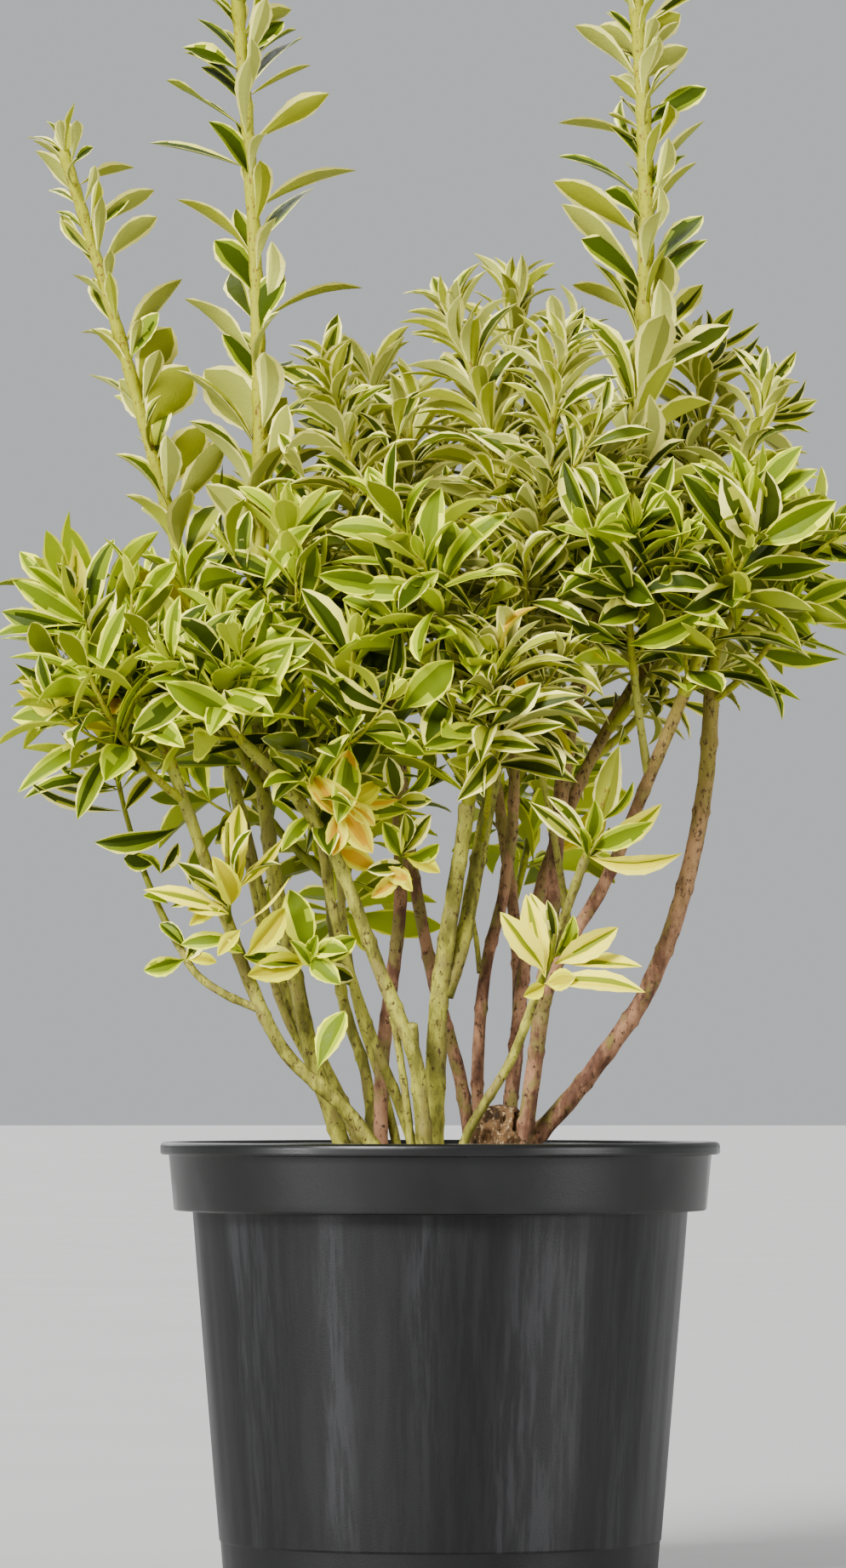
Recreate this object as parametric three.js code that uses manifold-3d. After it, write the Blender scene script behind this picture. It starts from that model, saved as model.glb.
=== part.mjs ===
// A variegated Japanese spindle in its nursery pot: the pot, the root ball's top, the woody root crown,
// the boughs that rise from them, and the leafy shoots that each bough carries.
// Millimetres, +Z up, -Y towards the viewer, origin at the centre of the pot's flat underside.
import * as THREE from "three";
import { mergeVertices } from "three/addons/utils/BufferGeometryUtils.js";
import Module from "manifold-3d";

const wasm = await Module();
wasm.setup();

// Driving dimensions of the pot, a 225 mm round container of about five litres.
const POT = {
  height: 178,
  lipRadius: 112.5,
  lipHeight: 5,
  collarTopRadius: 109.1,
  collarFootRadius: 107,
  collarHeight: 27.5,
  wallTopRadius: 99.5,
  baseRadius: 87.2,
  footHeight: 18,
  footInset: 0.5,
  wall: 1.8,
  floor: 2.4,
  sides: 44,
};
const DRAIN = { count: 8, radius: 6, inset: 2, sides: 10 };

// The compost stands this far below the rim and sinks a little towards the wall.
const SOIL = { below: 18, edgeFall: 2.5, flatRadius: 82, sides: 32 };
const SOIL_TOP = POT.height - SOIL.below;

// Solids that touch keep this gap, and leaves stay a little further from limbs.
const GAP = 0.3;
const LIMB_CLEARANCE = 0.7;

// Vertices this close are one vertex, and a joined mass may be out by the tolerance.
const WELD = 1e-4;
const JOIN_TOLERANCE = 0.03;
const FIRST_SEED = 301;

// The woody root crown: its middle, and its radius at heights above the compost.
const CROWN = {
  middle: [24, 4],
  rings: [
    { up: 0, radius: 23 },
    { up: 6, radius: 18.5 },
    { up: 15, radius: 15.5 },
    { up: 25, radius: 12.5 },
    { up: 33, radius: 7 },
  ],
  sides: 12,
};

// Boughs run through knots from their foot to where they enter a shoot's foliage, and taper from radius[0] to
// radius[1]. One with `from` grows out of that limb; any other stands on the compost. A spur is a pruned stub.
const SPUR_RADII = [2.6, 2];
const LIMB = { sides: 6, step: 22, flare: 0.35, flareHeight: 10, underground: 12 };
const BOUGHS = {
  bough_left_edge: {
    knots: [
      [-16, -33, SOIL_TOP],
      [-36, -35, 189],
      [-61, -38, 213],
      [-75, -42, 240],
      [-85, -46, 267],
      [-106, -52, 326],
    ],
    radius: [2.9, 2.3],
  },
  bough_left_low: {
    from: "bough_left_edge",
    knots: [[-70, -41, 230], [-86, -40, 237], [-97, -38, 245], [-104, -36, 256]],
    radius: [1.7, 1.5],
  },
  bough_tall_left: {
    knots: [[-33, -9, SOIL_TOP], [-49, -12, 205], [-58, -12, 243], [-69, -8, 300], [-75, -2, 372]],
    radius: [3.3, 2.8],
  },
  bough_far_left: {
    knots: [[-24, 11, SOIL_TOP], [-39, 14, 192], [-53, 18, 220], [-66, 21, 250], [-97, 22, 380]],
    radius: [2.8, 2.3],
  },
  bough_mid_left: {
    knots: [[-24, -6, SOIL_TOP], [-23, -7, 213], [-16, -10, 274], [-18, -12, 330], [-23, -12, 374]],
    radius: [2.9, 2.5],
  },
  bough_inner_left: {
    knots: [[-6, -16, SOIL_TOP], [-16, -21, 192], [-29, -26, 225], [-42, -30, 267], [-52, -31, 326]],
    radius: [2.2, 1.9],
  },
  bough_left_front: {
    knots: [
      [-5, -43, SOIL_TOP],
      [-8, -45, 196],
      [-11, -46, 214],
      [-24, -47, 246],
      [-42, -53, 292],
      [-60, -59, 318],
      [-78, -63, 336],
    ],
    radius: [3.2, 2.1],
    spur: [[-11, -46, 212], [-11.5, -46, 225]],
  },
  bough_centre: {
    knots: [[-4, -28, SOIL_TOP], [-2, -29, 205], [0, -31, 240], [6, -36, 280], [11, -41, 312]],
    radius: [4.7, 2.9],
  },
  bough_centre_right: {
    from: "bough_centre",
    knots: [[2, -30, 236], [9, -28, 259], [17, -25, 301], [26, -23, 348]],
    radius: [3.3, 2.8],
  },
  bough_right_front: {
    knots: [[5, -50, SOIL_TOP], [11, -50, 182], [28, -53, 211], [39, -57, 240], [57, -62, 290]],
    radius: [1.8, 1.8],
  },
  bough_centre_back: {
    from: "root_crown",
    knots: [[18, 4, 174], [15, 6, 200], [18, 13, 245], [26, 18, 280], [30, 21, 320], [28, 23, 384]],
    radius: [2.5, 2.1],
  },
  bough_back_left_inner: {
    from: "root_crown",
    knots: [[13, 12, 172], [8, 16, 204], [-4, 24, 250], [-14, 34, 310], [-19, 39, 376]],
    radius: [2.7, 2.2],
  },
  bough_tall_right: {
    from: "root_crown",
    knots: [[33, -3, 174], [37, -4, 203], [43, -6, 250], [48, -1, 310], [55, 3, 358], [68, 5, 400]],
    radius: [3.2, 2.9],
  },
  bough_right_mid: {
    from: "bough_tall_right",
    knots: [[40, -5, 228], [48, -14, 252], [66, -21, 282], [82, -26, 320], [97, -29, 356]],
    radius: [2.8, 2.5],
  },
  bough_right_inner: {
    from: "bough_right_mid",
    knots: [[83, -26, 324], [80, -29, 344], [77, -32, 366]],
    radius: [1.7, 1.5],
  },
  bough_far_right: {
    from: "root_crown",
    knots: [[32, 8, 173], [53, 7, 196], [70, 6, 218], [84, 5, 240], [98, 4, 278], [107, 5, 322], [110, 6, 364]],
    radius: [3.6, 3.1],
  },
  bough_right_back: {
    from: "root_crown",
    knots: [[27, 11, 174], [31, 15, 220], [38, 26, 270], [58, 38, 326], [91, 44, 384]],
    radius: [2.9, 2.4],
  },
  bough_back: {
    from: "root_crown",
    knots: [[24, 15, 172], [31, 28, 212], [31, 46, 262], [20, 72, 350]],
    radius: [2.8, 2.3],
  },
  bough_back_left: {
    knots: [[-25, 21, SOIL_TOP], [-30, 28, 204], [-41, 41, 244], [-51, 64, 340]],
    radius: [2.5, 2.1],
  },
};
// The boughs with brown bark. The others are green.
const BROWN_BOUGHS = [
  "bough_mid_left",
  "bough_centre_back",
  "bough_tall_right",
  "bough_right_mid",
  "bough_far_right",
  "bough_right_back",
  "bough_back",
  "bough_back_left_inner",
];

// A leaf's width, arch and droop as shares of its length, where it is widest, its thickness at the midrib and how
// far its root is sunk past the stem's middle line.
const LEAF = { width: 0.6, thickness: 1.5, widestAt: 0.55, arch: 0.07, droop: 0.1, sunk: 0.2 };

// Foliage masses. Each is one leafy shoot with side twigs, its own node, growing from a bough: at its tip (at 1)
// or part of the way along it. Then come the shoot's tip, its longest leaf, its pairs of leaves, its side twigs
// and the thickness of its foot. A lone shoot has slimmer leaves, and says how its first pair is turned and how
// far the middle of its line is pushed to the right.
const shoot = (bough, at, tip, leaf, pairs, twigs, stem, more = {}) => ({
  bough,
  at,
  tip,
  leaf,
  pairs,
  twigs,
  stem,
  width: LEAF.width,
  turn: null,
  push: 0,
  ...more,
});
const SHOOTS = {
  shoot_tall_left: shoot("bough_tall_left", 1, [-85, -2, 668], 40, 18, 0, 6.2, { width: 0.46, turn: 10, push: 9 }),
  shoot_far_left: shoot("bough_far_left", 1, [-153, 14, 580], 32, 14, 0, 5, { width: 0.46, turn: 20 }),
  shoot_tall_right: shoot("bough_tall_right", 1, [77, 4, 664], 36, 22, 0, 6.6, { width: 0.46, turn: 15, push: -5 }),
  shoot_mid_left: shoot("bough_mid_left", 1, [-44, -24, 482], 42, 10, 2, 4.8),
  shoot_centre: shoot("bough_centre_right", 1, [6, -18, 506], 42, 13, 2, 5),
  shoot_centre_back: shoot("bough_centre_back", 1, [30, 34, 520], 40, 10, 2, 4.4),
  shoot_centre_right: shoot("bough_centre_right", 0.9, [47, -54, 488], 44, 12, 3, 4.8),
  shoot_right_back: shoot("bough_right_back", 1, [105, 46, 496], 42, 9, 2, 4.4),
  shoot_right_outer: shoot("bough_right_back", 0.8, [131, 24, 474], 42, 10, 2, 4.2),
  shoot_right_mid: shoot("bough_right_mid", 1, [121, -50, 430], 46, 8, 2, 4.6),
  shoot_far_right: shoot("bough_far_right", 1, [148, -4, 422], 42, 7, 2, 4.8),
  shoot_right_low: shoot("bough_far_right", 0.96, [140, -22, 392], 34, 4, 0, 3.4),
  shoot_right_inner: shoot("bough_right_inner", 1, [77, -60, 420], 46, 8, 2, 3.2),
  shoot_centre_low: shoot("bough_centre", 1, [-18, -68, 424], 46, 10, 4, 5),
  shoot_inner_left: shoot("bough_inner_left", 1, [-60, -54, 420], 46, 8, 2, 4),
  shoot_left_edge: shoot("bough_left_edge", 1, [-146, -56, 394], 46, 8, 2, 4.4),
  shoot_left_low: shoot("bough_left_low", 1, [-130, -34, 330], 38, 7, 0, 3, { turn: 10 }),
  shoot_left_front: shoot("bough_left_front", 1, [-84, -80, 362], 46, 5, 1, 3.8),
  rosette_left: shoot("bough_left_edge", 0.66, [-84, -68, 304], 38, 6, 0, 2.8),
  rosette_inner: shoot("bough_inner_left", 0.5, [-52, -42, 254], 38, 5, 0, 2.4, { turn: 40 }),
  rosette_right: shoot("bough_right_front", 0.62, [45, -70, 260], 42, 4, 0, 2.6, { turn: 0 }),
  shoot_right_front: shoot("bough_right_front", 1, [66, -70, 318], 46, 5, 0, 3),
  rosette_centre: shoot("bough_mid_left", 0.58, [-16, -34, 308], 36, 5, 0, 2.6),
  shoot_centre_front: shoot("bough_centre_right", 0.55, [24, -68, 368], 44, 7, 1, 3.2),
  shoot_left_inner: shoot("bough_tall_left", 0.76, [-102, -26, 400], 46, 8, 3, 3.8),
  shoot_upper_inner: shoot("bough_mid_left", 0.9, [-12, 8, 470], 42, 8, 2, 3.8),
  shoot_left_outer: shoot("bough_left_edge", 0.93, [-138, -78, 362], 44, 5, 0, 3.4),
  shoot_mid_inner: shoot("bough_inner_left", 0.86, [-34, -66, 372], 46, 6, 2, 3.4),
  shoot_right_upper: shoot("bough_tall_right", 0.86, [60, -18, 460], 42, 9, 2, 3.8),
  shoot_back: shoot("bough_back", 1, [14, 96, 468], 46, 7, 3, 4.4),
  shoot_back_left: shoot("bough_back_left", 1, [-70, 92, 452], 46, 6, 3, 4.2),
  shoot_back_inner: shoot("bough_back_left_inner", 1, [-28, 50, 488], 44, 7, 2, 4),
  shoot_back_left_edge: shoot("bough_back_left", 0.7, [-116, 62, 400], 46, 5, 2, 3.6),
  shoot_back_left_low: shoot("bough_back_left", 0.58, [-28, 112, 374], 46, 5, 2, 3.6),
  shoot_back_right: shoot("bough_back", 0.8, [66, 100, 446], 46, 6, 2, 3.8),
  shoot_back_right_edge: shoot("bough_right_back", 0.74, [124, 76, 428], 46, 5, 2, 3.6),
  shoot_back_low: shoot("bough_back", 0.58, [44, 116, 356], 44, 5, 2, 3.4),
};

// The rule by which leaves stand on a shoot. Leans are angles from the shoot's own direction, in degrees.
const RULE = {
  crowding: 1.15,
  tipLean: 20,
  footLean: 66,
  leanPower: 2.4,
  leanJitter: 9,
  turnJitter: 16,
  roll: 55,
  tipLength: 0.55,
  footLength: 0.86,
  lengthJitter: 0.12,
  largerThanLife: 1.06,
  tries: [1, 0.82, 0.66],
};
// Side twigs leave the shoot at a lean, then bend upwards.
const TWIG = {
  first: 0.04,
  last: 0.62,
  lean: 52,
  length: 30,
  lift: 0.4,
  pairs: 2,
  leafShare: 0.85,
  stemShare: 0.62,
  goldenTurn: 137.5,
};
const SPRIG = { sides: 3, steps: 3, tipShare: 0.5 };

const COLOURS = {
  plastic: { color: 0x2e2e30, roughness: 0.45 },
  compost: { color: 0x2a1d14, roughness: 1 },
  bark: { color: 0x8c7a52, roughness: 0.85 },
  greenwood: { color: 0x9aa052, roughness: 0.7 },
  foliage: { color: 0xa8b060, roughness: 0.6 },
};

const UP = new THREE.Vector3(0, 0, 1);
const radians = THREE.MathUtils.degToRad;
const mix = THREE.MathUtils.lerp;
const vector = (p) => new THREE.Vector3(...p);

// A repeatable stream of numbers from 0 to 1, the same for the same seed.
function stream(seed) {
  let state = (seed * 7919 + 104729) % 4294967296;
  return () => {
    state = (state * 1664525 + 1013904223) % 4294967296;
    return state / 4294967296;
  };
}
const around = (next, spread) => (2 * next() - 1) * spread;

// A closed geometry, or several shells of one, as a solid for joining and cutting.
function solidOf(geometry) {
  const loose = geometry.index ? geometry.toNonIndexed() : geometry;
  const bare = new THREE.BufferGeometry().setAttribute("position", loose.getAttribute("position"));
  const welded = mergeVertices(bare, WELD);
  return new wasm.Manifold(
    new wasm.Mesh({
      numProp: 3,
      vertProperties: welded.attributes.position.array,
      triVerts: new Uint32Array(welded.index.array),
    }),
  );
}

function geometryOf(solid) {
  const { vertProperties, triVerts } = solid.getMesh();
  return new THREE.BufferGeometry()
    .setAttribute("position", new THREE.BufferAttribute(vertProperties, 3))
    .setIndex(new THREE.BufferAttribute(triVerts, 1));
}

// The largest of a solid's separate pieces, so that no loose scrap is kept.
function mainPiece(solid) {
  return solid.decompose().reduce((a, b) => (b.volume() > a.volume() ? b : a));
}

function part(name, solid, colour) {
  const material = new THREE.MeshStandardMaterial({ metalness: 0, ...COLOURS[colour] });
  const mesh = new THREE.Mesh(geometryOf(solid), material);
  mesh.name = name;
  return mesh;
}

// A profile of [radius, height] points spun round the vertical axis.
function spun(profile, sides) {
  const points = profile.map(([r, z]) => new THREE.Vector2(r, z));
  return solidOf(new THREE.LatheGeometry(points, sides).rotateX(Math.PI / 2));
}

// A closed round limb through points, with a radius at each and flat ends square to it.
function tube(points, radii, sides) {
  const tangents = points.map((_, i) =>
    points[Math.min(i + 1, points.length - 1)].clone().sub(points[Math.max(i - 1, 0)]).normalize(),
  );
  const side = new THREE.Vector3(1, 0, 0);
  const rings = points.map((p, i) => {
    side.addScaledVector(tangents[i], -side.dot(tangents[i])).normalize();
    const other = new THREE.Vector3().crossVectors(tangents[i], side);
    return Array.from({ length: sides }, (_, k) => {
      const a = (2 * Math.PI * k) / sides;
      const out = side.clone().multiplyScalar(Math.cos(a)).addScaledVector(other, Math.sin(a));
      return p.clone().addScaledVector(out, radii[i]);
    });
  });
  const faces = [];
  for (let i = 0; i + 1 < rings.length; i++)
    for (let k = 0; k < sides; k++) {
      const n = (k + 1) % sides;
      faces.push(rings[i][k], rings[i][n], rings[i + 1][n], rings[i][k], rings[i + 1][n], rings[i + 1][k]);
    }
  const last = rings[rings.length - 1];
  for (let k = 1; k + 1 < sides; k++) {
    faces.push(rings[0][0], rings[0][k + 1], rings[0][k]);
    faces.push(last[0], last[k], last[k + 1]);
  }
  return new THREE.BufferGeometry().setFromPoints(faces);
}

function distanceToPath(p, path) {
  const line = new THREE.Line3();
  const nearest = new THREE.Vector3();
  let least = Infinity;
  for (let i = 0; i + 1 < path.length; i++) {
    line.set(path[i], path[i + 1]).closestPointToPoint(p, true, nearest);
    least = Math.min(least, nearest.distanceTo(p));
  }
  return least;
}

// The thin-walled pot: flat floor, drafted wall, stepped collar and rolled lip, with drain holes low in the wall.
function pot() {
  const { height, wall, floor, lipRadius, lipHeight, footInset } = POT;
  const collarFoot = height - POT.collarHeight;
  const slope = (POT.wallTopRadius - POT.baseRadius) / collarFoot;
  const footRadius = POT.baseRadius + slope * POT.footHeight;
  const shell = spun(
    [
      [0, 0],
      [POT.baseRadius - footInset - 1.2, 0],
      [POT.baseRadius - footInset, 1.2],
      [footRadius - footInset, POT.footHeight],
      [footRadius, POT.footHeight + footInset],
      [POT.wallTopRadius, collarFoot],
      [POT.collarFootRadius, collarFoot],
      [POT.collarTopRadius, height - lipHeight],
      [lipRadius, height - lipHeight],
      [lipRadius, height - 0.8],
      [lipRadius - 0.8, height],
      [POT.collarTopRadius - wall, height],
      [POT.collarFootRadius - wall, collarFoot + wall],
      [POT.wallTopRadius - wall, collarFoot + wall],
      [POT.baseRadius - wall, floor],
      [0, floor],
    ],
    POT.sides,
  );
  const drill = new THREE.CylinderGeometry(DRAIN.radius, DRAIN.radius, 24, DRAIN.sides).rotateZ(Math.PI / 2);
  return Array.from({ length: DRAIN.count }, (_, k) => {
    const a = ((k + 0.5) * 2 * Math.PI) / DRAIN.count;
    const r = POT.baseRadius - DRAIN.inset;
    return solidOf(drill.clone().translate(r, 0, DRAIN.inset).rotateZ(a));
  }).reduce((made, hole) => made.subtract(hole), shell);
}

// The compost fills the pot to SOIL_TOP, a gap clear of the wall all round.
function compost() {
  const collarFoot = POT.height - POT.collarHeight;
  const clear = POT.wall + 2 * GAP;
  const edgeTop = SOIL_TOP - SOIL.edgeFall;
  return spun(
    [
      [0, POT.floor + GAP],
      [POT.baseRadius - clear, POT.floor + GAP],
      [POT.wallTopRadius - clear, collarFoot + POT.wall + GAP],
      [POT.collarFootRadius - clear, collarFoot + POT.wall + GAP],
      [POT.collarFootRadius - clear, edgeTop],
      [SOIL.flatRadius, SOIL_TOP],
      [0, SOIL_TOP],
    ],
    SOIL.sides,
  );
}

// Everything up to a gap above the compost, taken away to give each foot its flat cut.
function groundBlock() {
  const deep = 60;
  const block = new THREE.BoxGeometry(3 * POT.lipRadius, 3 * POT.lipRadius, deep);
  return solidOf(block.translate(0, 0, SOIL_TOP + GAP - deep / 2));
}

// The root crown, `grown` larger all over when it is a cutter for the boughs that rise from it.
function rootCrown(grown = 0) {
  const [x, y] = CROWN.middle;
  const points = CROWN.rings.map(({ up }, i) => {
    const end = i === CROWN.rings.length - 1 ? grown : 0;
    return new THREE.Vector3(x, y, SOIL_TOP + up + end - (i ? 0 : GAP));
  });
  return solidOf(tube(points, CROWN.rings.map(({ radius }) => radius + grown), CROWN.sides));
}

const bendThrough = (knots) => new THREE.CatmullRomCurve3(knots.map(vector), false, "catmullrom", 0.5);

// Where a bough runs and how thick it is there, flared where it meets the compost.
function boughPath({ knots, radius, from }) {
  const bend = bendThrough(knots);
  const steps = Math.max(3, Math.round(bend.getLength() / LIMB.step));
  const points = bend.getSpacedPoints(steps);
  const radii = points.map((p, i) => {
    const flare = from ? 0 : LIMB.flare * Math.exp(-(p.z - SOIL_TOP) / LIMB.flareHeight);
    return mix(radius[0], radius[1], i / steps) * (1 + flare);
  });
  return { bend, points, radii, entry: bend.getTangentAt(1) };
}

function boughSolid(path, grown = 0) {
  return solidOf(tube(path.points, path.radii.map((r) => r + grown), LIMB.sides));
}

// A bough cut square at the compost, or hollowed a gap clear of the limb that it grows from.
function bough(name, paths) {
  const { from, knots, radius, spur } = BOUGHS[name];
  if (from === "root_crown") return mainPiece(boughSolid(paths[name]).subtract(rootCrown(GAP)));
  if (from) return mainPiece(boughSolid(paths[name]).subtract(boughSolid(paths[from], GAP)));
  const below = tube(
    [vector(knots[0]).addScaledVector(UP, -LIMB.underground), vector(knots[0])],
    [radius[0] * (1 + LIMB.flare), radius[0] * (1 + LIMB.flare)],
    LIMB.sides,
  );
  const parts = [boughSolid(paths[name]), solidOf(below)];
  if (spur) parts.push(solidOf(tube(spur.map(vector), SPUR_RADII, LIMB.sides)));
  return mainPiece(wasm.Manifold.union(parts).subtract(groundBlock()));
}

// A shoot's own line: on from its bough's tip, or out of the bough's side and then upwards.
function shootPath({ bough: name, at, tip, push }, paths) {
  const { bend, entry } = paths[name];
  const end = vector(tip);
  const start = bend.getPointAt(at);
  if (at === 1) {
    start.addScaledVector(entry, 2 * GAP);
    const control = start.clone().addScaledVector(entry, 0.45 * start.distanceTo(end));
    control.x += 2 * push;
    return new THREE.QuadraticBezierCurve3(start, control, end);
  }
  const out = new THREE.Vector3(0.62, 0.62, 0.3);
  const control = start.clone().add(end.clone().sub(start).multiply(out));
  return new THREE.QuadraticBezierCurve3(start, control, end);
}

// A leaf as a low ridge: a root and a tip, two edges lifted by its arch, and a midrib above them.
function leaf({ foot, direction, face, length, width }) {
  const across = new THREE.Vector3().crossVectors(direction, face).normalize();
  const normal = new THREE.Vector3().crossVectors(across, direction);
  const at = (along, sideways, up) =>
    foot.clone().addScaledVector(direction, along).addScaledVector(across, sideways).addScaledVector(normal, up);
  const half = (length * width) / 2;
  const mid = LEAF.widestAt * length;
  const arch = LEAF.arch * length;
  const root = at(-LEAF.sunk, 0, 0);
  const tip = at(length, 0, -LEAF.droop * length);
  const left = at(mid, half, arch);
  const right = at(mid, -half, arch);
  const ridge = at(mid * 0.9, 0, arch + LEAF.thickness);
  const ends = [root, left, tip, right];
  const faces = ends.flatMap((p, i) => [ridge, p, ends[(i + 1) % ends.length]]);
  faces.push(left, root, right, left, right, tip);
  const probes = [left, right, tip, ridge, ...[left, right, ridge].map((p) => p.clone().lerp(tip, 0.5))];
  return { geometry: new THREE.BufferGeometry().setFromPoints(faces), probes };
}

// A direction square to a stem, turned round it from the side that faces the plant's left.
function sideways(stem, turn) {
  const side = new THREE.Vector3().crossVectors(stem, new THREE.Vector3(0, 1, 0)).normalize();
  return side.applyAxisAngle(stem, radians(turn));
}

// A stem's direction tipped towards one side by an angle.
function leaning(stem, side, angle) {
  return stem.clone().multiplyScalar(Math.cos(radians(angle))).addScaledVector(side, Math.sin(radians(angle)));
}

// The leaves of one stem in opposite pairs, each pair a quarter turn from the last, closer and steeper at the tip.
function pairsAlong(bend, { pairs, leaf: longest, width, turn }, next) {
  const firstTurn = turn ?? 360 * next();
  return Array.from({ length: pairs }, (_, k) => {
    const along = 1 - (1 - (k + 0.6) / pairs) ** RULE.crowding;
    const foot = bend.getPointAt(along);
    const stem = bend.getTangentAt(along);
    const pairTurn = firstTurn + 90 * k + around(next, RULE.turnJitter);
    return [0, 180].map((opposite) => {
      const lean = mix(RULE.footLean, RULE.tipLean, along ** RULE.leanPower) + around(next, RULE.leanJitter);
      const shape = mix(RULE.footLength, 1, Math.min(1, 3 * along)) * mix(1, RULE.tipLength, along ** 3);
      const length = longest * shape * (1 + around(next, RULE.lengthJitter));
      const out = sideways(stem, pairTurn + opposite);
      const direction = leaning(stem, out, lean);
      const face = leaning(stem, out, lean - 90).applyAxisAngle(direction, radians(around(next, RULE.roll)));
      return { foot, direction, face, length, width };
    });
  }).flat();
}

// A shoot's side twigs, spread round it by the golden angle.
function sideTwigs(bend, { twigs, leaf: longest, width }, next) {
  return Array.from({ length: twigs }, (_, k) => {
    const along = mix(TWIG.first, TWIG.last, (k + 0.5) / twigs);
    const foot = bend.getPointAt(along);
    const stem = bend.getTangentAt(along);
    const out = sideways(stem, TWIG.goldenTurn * k + 360 * next());
    const direction = leaning(stem, out, TWIG.lean);
    const length = TWIG.length * (1 + around(next, 0.2));
    const knee = foot.clone().addScaledVector(direction, length / 2);
    const end = foot.clone().addScaledVector(direction, length).addScaledVector(UP, TWIG.lift * length);
    return {
      bend: new THREE.QuadraticBezierCurve3(foot, knee, end),
      pairs: TWIG.pairs,
      leaf: longest * TWIG.leafShare,
      width,
      turn: null,
    };
  });
}

function sprig(bend, thick, share = 1) {
  const points = bend.getSpacedPoints(SPRIG.steps);
  const radii = points.map((_, i) => (mix(1, SPRIG.tipShare, i / SPRIG.steps) * thick * share) / 2);
  return tube(points, radii, SPRIG.sides);
}

// A foliage mass: a shoot with its side twigs and leaves fused on. It keeps to its own space, which is what lies
// nearer to its own shoot than to any other's, so a leaf that would leave it or touch a limb is skipped.
function foliage(name, spaces, paths, seed) {
  const row = SHOOTS[name];
  const bend = shootPath(row, paths);
  const next = stream(seed);
  const others = Object.keys(spaces).filter((other) => other !== name);
  const fits = (p) => {
    const own = distanceToPath(p, spaces[name]);
    return (
      others.every((other) => distanceToPath(p, spaces[other]) > own + 2 * GAP) &&
      Object.values(paths).every(
        ({ points, radii }) => distanceToPath(p, points) > Math.max(...radii) + LIMB_CLEARANCE,
      )
    );
  };
  const solids = [solidOf(sprig(bend, row.stem))];
  const leaves = pairsAlong(bend, row, next);
  for (const twig of sideTwigs(bend, row, next)) {
    const twigLeaves = pairsAlong(twig.bend, twig, next);
    if (!twig.bend.getSpacedPoints(3).slice(1).every(fits)) continue;
    solids.push(solidOf(sprig(twig.bend, row.stem, TWIG.stemShare)));
    leaves.push(...twigLeaves);
  }
  for (const place of leaves)
    for (const size of RULE.tries) {
      const { geometry, probes } = leaf({ ...place, length: place.length * size * RULE.largerThanLife });
      if (!probes.every(fits)) continue;
      solids.push(solidOf(geometry));
      break;
    }
  const joined = wasm.Manifold.union(solids).setTolerance(JOIN_TOLERANCE);
  return mainPiece(row.at === 1 ? joined : joined.subtract(boughSolid(paths[row.bough], GAP)));
}

const plant = new THREE.Group();
plant.name = "potted_japanese_spindle";
plant.add(part("pot", pot(), "plastic"));
plant.add(part("compost", compost(), "compost"));
plant.add(part("root_crown", rootCrown().subtract(groundBlock()), "bark"));

const paths = Object.fromEntries(Object.entries(BOUGHS).map(([name, row]) => [name, boughPath(row)]));
for (const name of Object.keys(BOUGHS)) {
  plant.add(part(name, bough(name, paths), BROWN_BOUGHS.includes(name) ? "bark" : "greenwood"));
}

const spaces = Object.fromEntries(
  Object.entries(SHOOTS).map(([name, row]) => [name, shootPath(row, paths).getSpacedPoints(SPRIG.steps)]),
);
Object.keys(SHOOTS).forEach((name, i) => {
  plant.add(part(name, foliage(name, spaces, paths, FIRST_SEED + i), "foliage"));
});

export default plant;
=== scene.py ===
"""A variegated Japanese spindle in its nursery pot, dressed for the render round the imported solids.

Tables are in millimetres, as in the part's source, and meshes in metres: +Z up, -Y towards the viewer, with
the origin at the centre of the pot's flat underside.
"""
import logging
import math
from collections.abc import Iterator
from dataclasses import dataclass, field
from enum import Enum

import bpy
import numpy as np
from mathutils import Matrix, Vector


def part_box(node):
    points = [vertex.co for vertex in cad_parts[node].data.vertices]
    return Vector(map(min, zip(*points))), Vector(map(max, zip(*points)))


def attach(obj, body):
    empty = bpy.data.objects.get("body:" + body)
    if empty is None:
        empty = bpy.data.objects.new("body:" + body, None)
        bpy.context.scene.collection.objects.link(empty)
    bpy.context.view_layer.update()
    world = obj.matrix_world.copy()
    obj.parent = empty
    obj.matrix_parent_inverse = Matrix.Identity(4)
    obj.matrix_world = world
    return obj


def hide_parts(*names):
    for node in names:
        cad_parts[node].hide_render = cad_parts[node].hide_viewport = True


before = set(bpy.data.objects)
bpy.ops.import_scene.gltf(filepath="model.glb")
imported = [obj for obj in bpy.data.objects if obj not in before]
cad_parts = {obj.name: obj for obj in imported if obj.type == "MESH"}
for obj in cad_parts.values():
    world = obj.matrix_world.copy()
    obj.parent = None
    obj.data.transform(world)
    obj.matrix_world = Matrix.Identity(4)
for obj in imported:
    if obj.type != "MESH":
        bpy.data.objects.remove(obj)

Array = np.ndarray
Dice = np.random.Generator
Span = tuple[float, float]
Point = tuple[float, float, float]
Colour = tuple[int, int, int]
Material = bpy.types.Material
Piece = bpy.types.Object
Socket = bpy.types.NodeSocket
log = logging.getLogger("spindle")

MM = 0.001
SOIL_TOP = 160.0
AXES = np.eye(3)
SMOOTH = 180.0

CROWN_SEED = 5
COMPOST_SEED = 11
BOUGH_SEED = 40
THIN_STEM_SEED = 90
SHOOT_SEED = 301
LEAF_SEED = 401


# Small sums on arrays of vectors

def unit(vectors: Array) -> Array:
    """Vectors divided by their own length, along the last axis."""
    return vectors / np.maximum(np.linalg.norm(vectors, axis=-1, keepdims=True), 1e-12)


def mix(a: Array | float, b: Array | float, share: Array | float) -> Array:
    """A value that runs straight from a at share 0 to b at share 1."""
    return a + (b - a) * share


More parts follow.
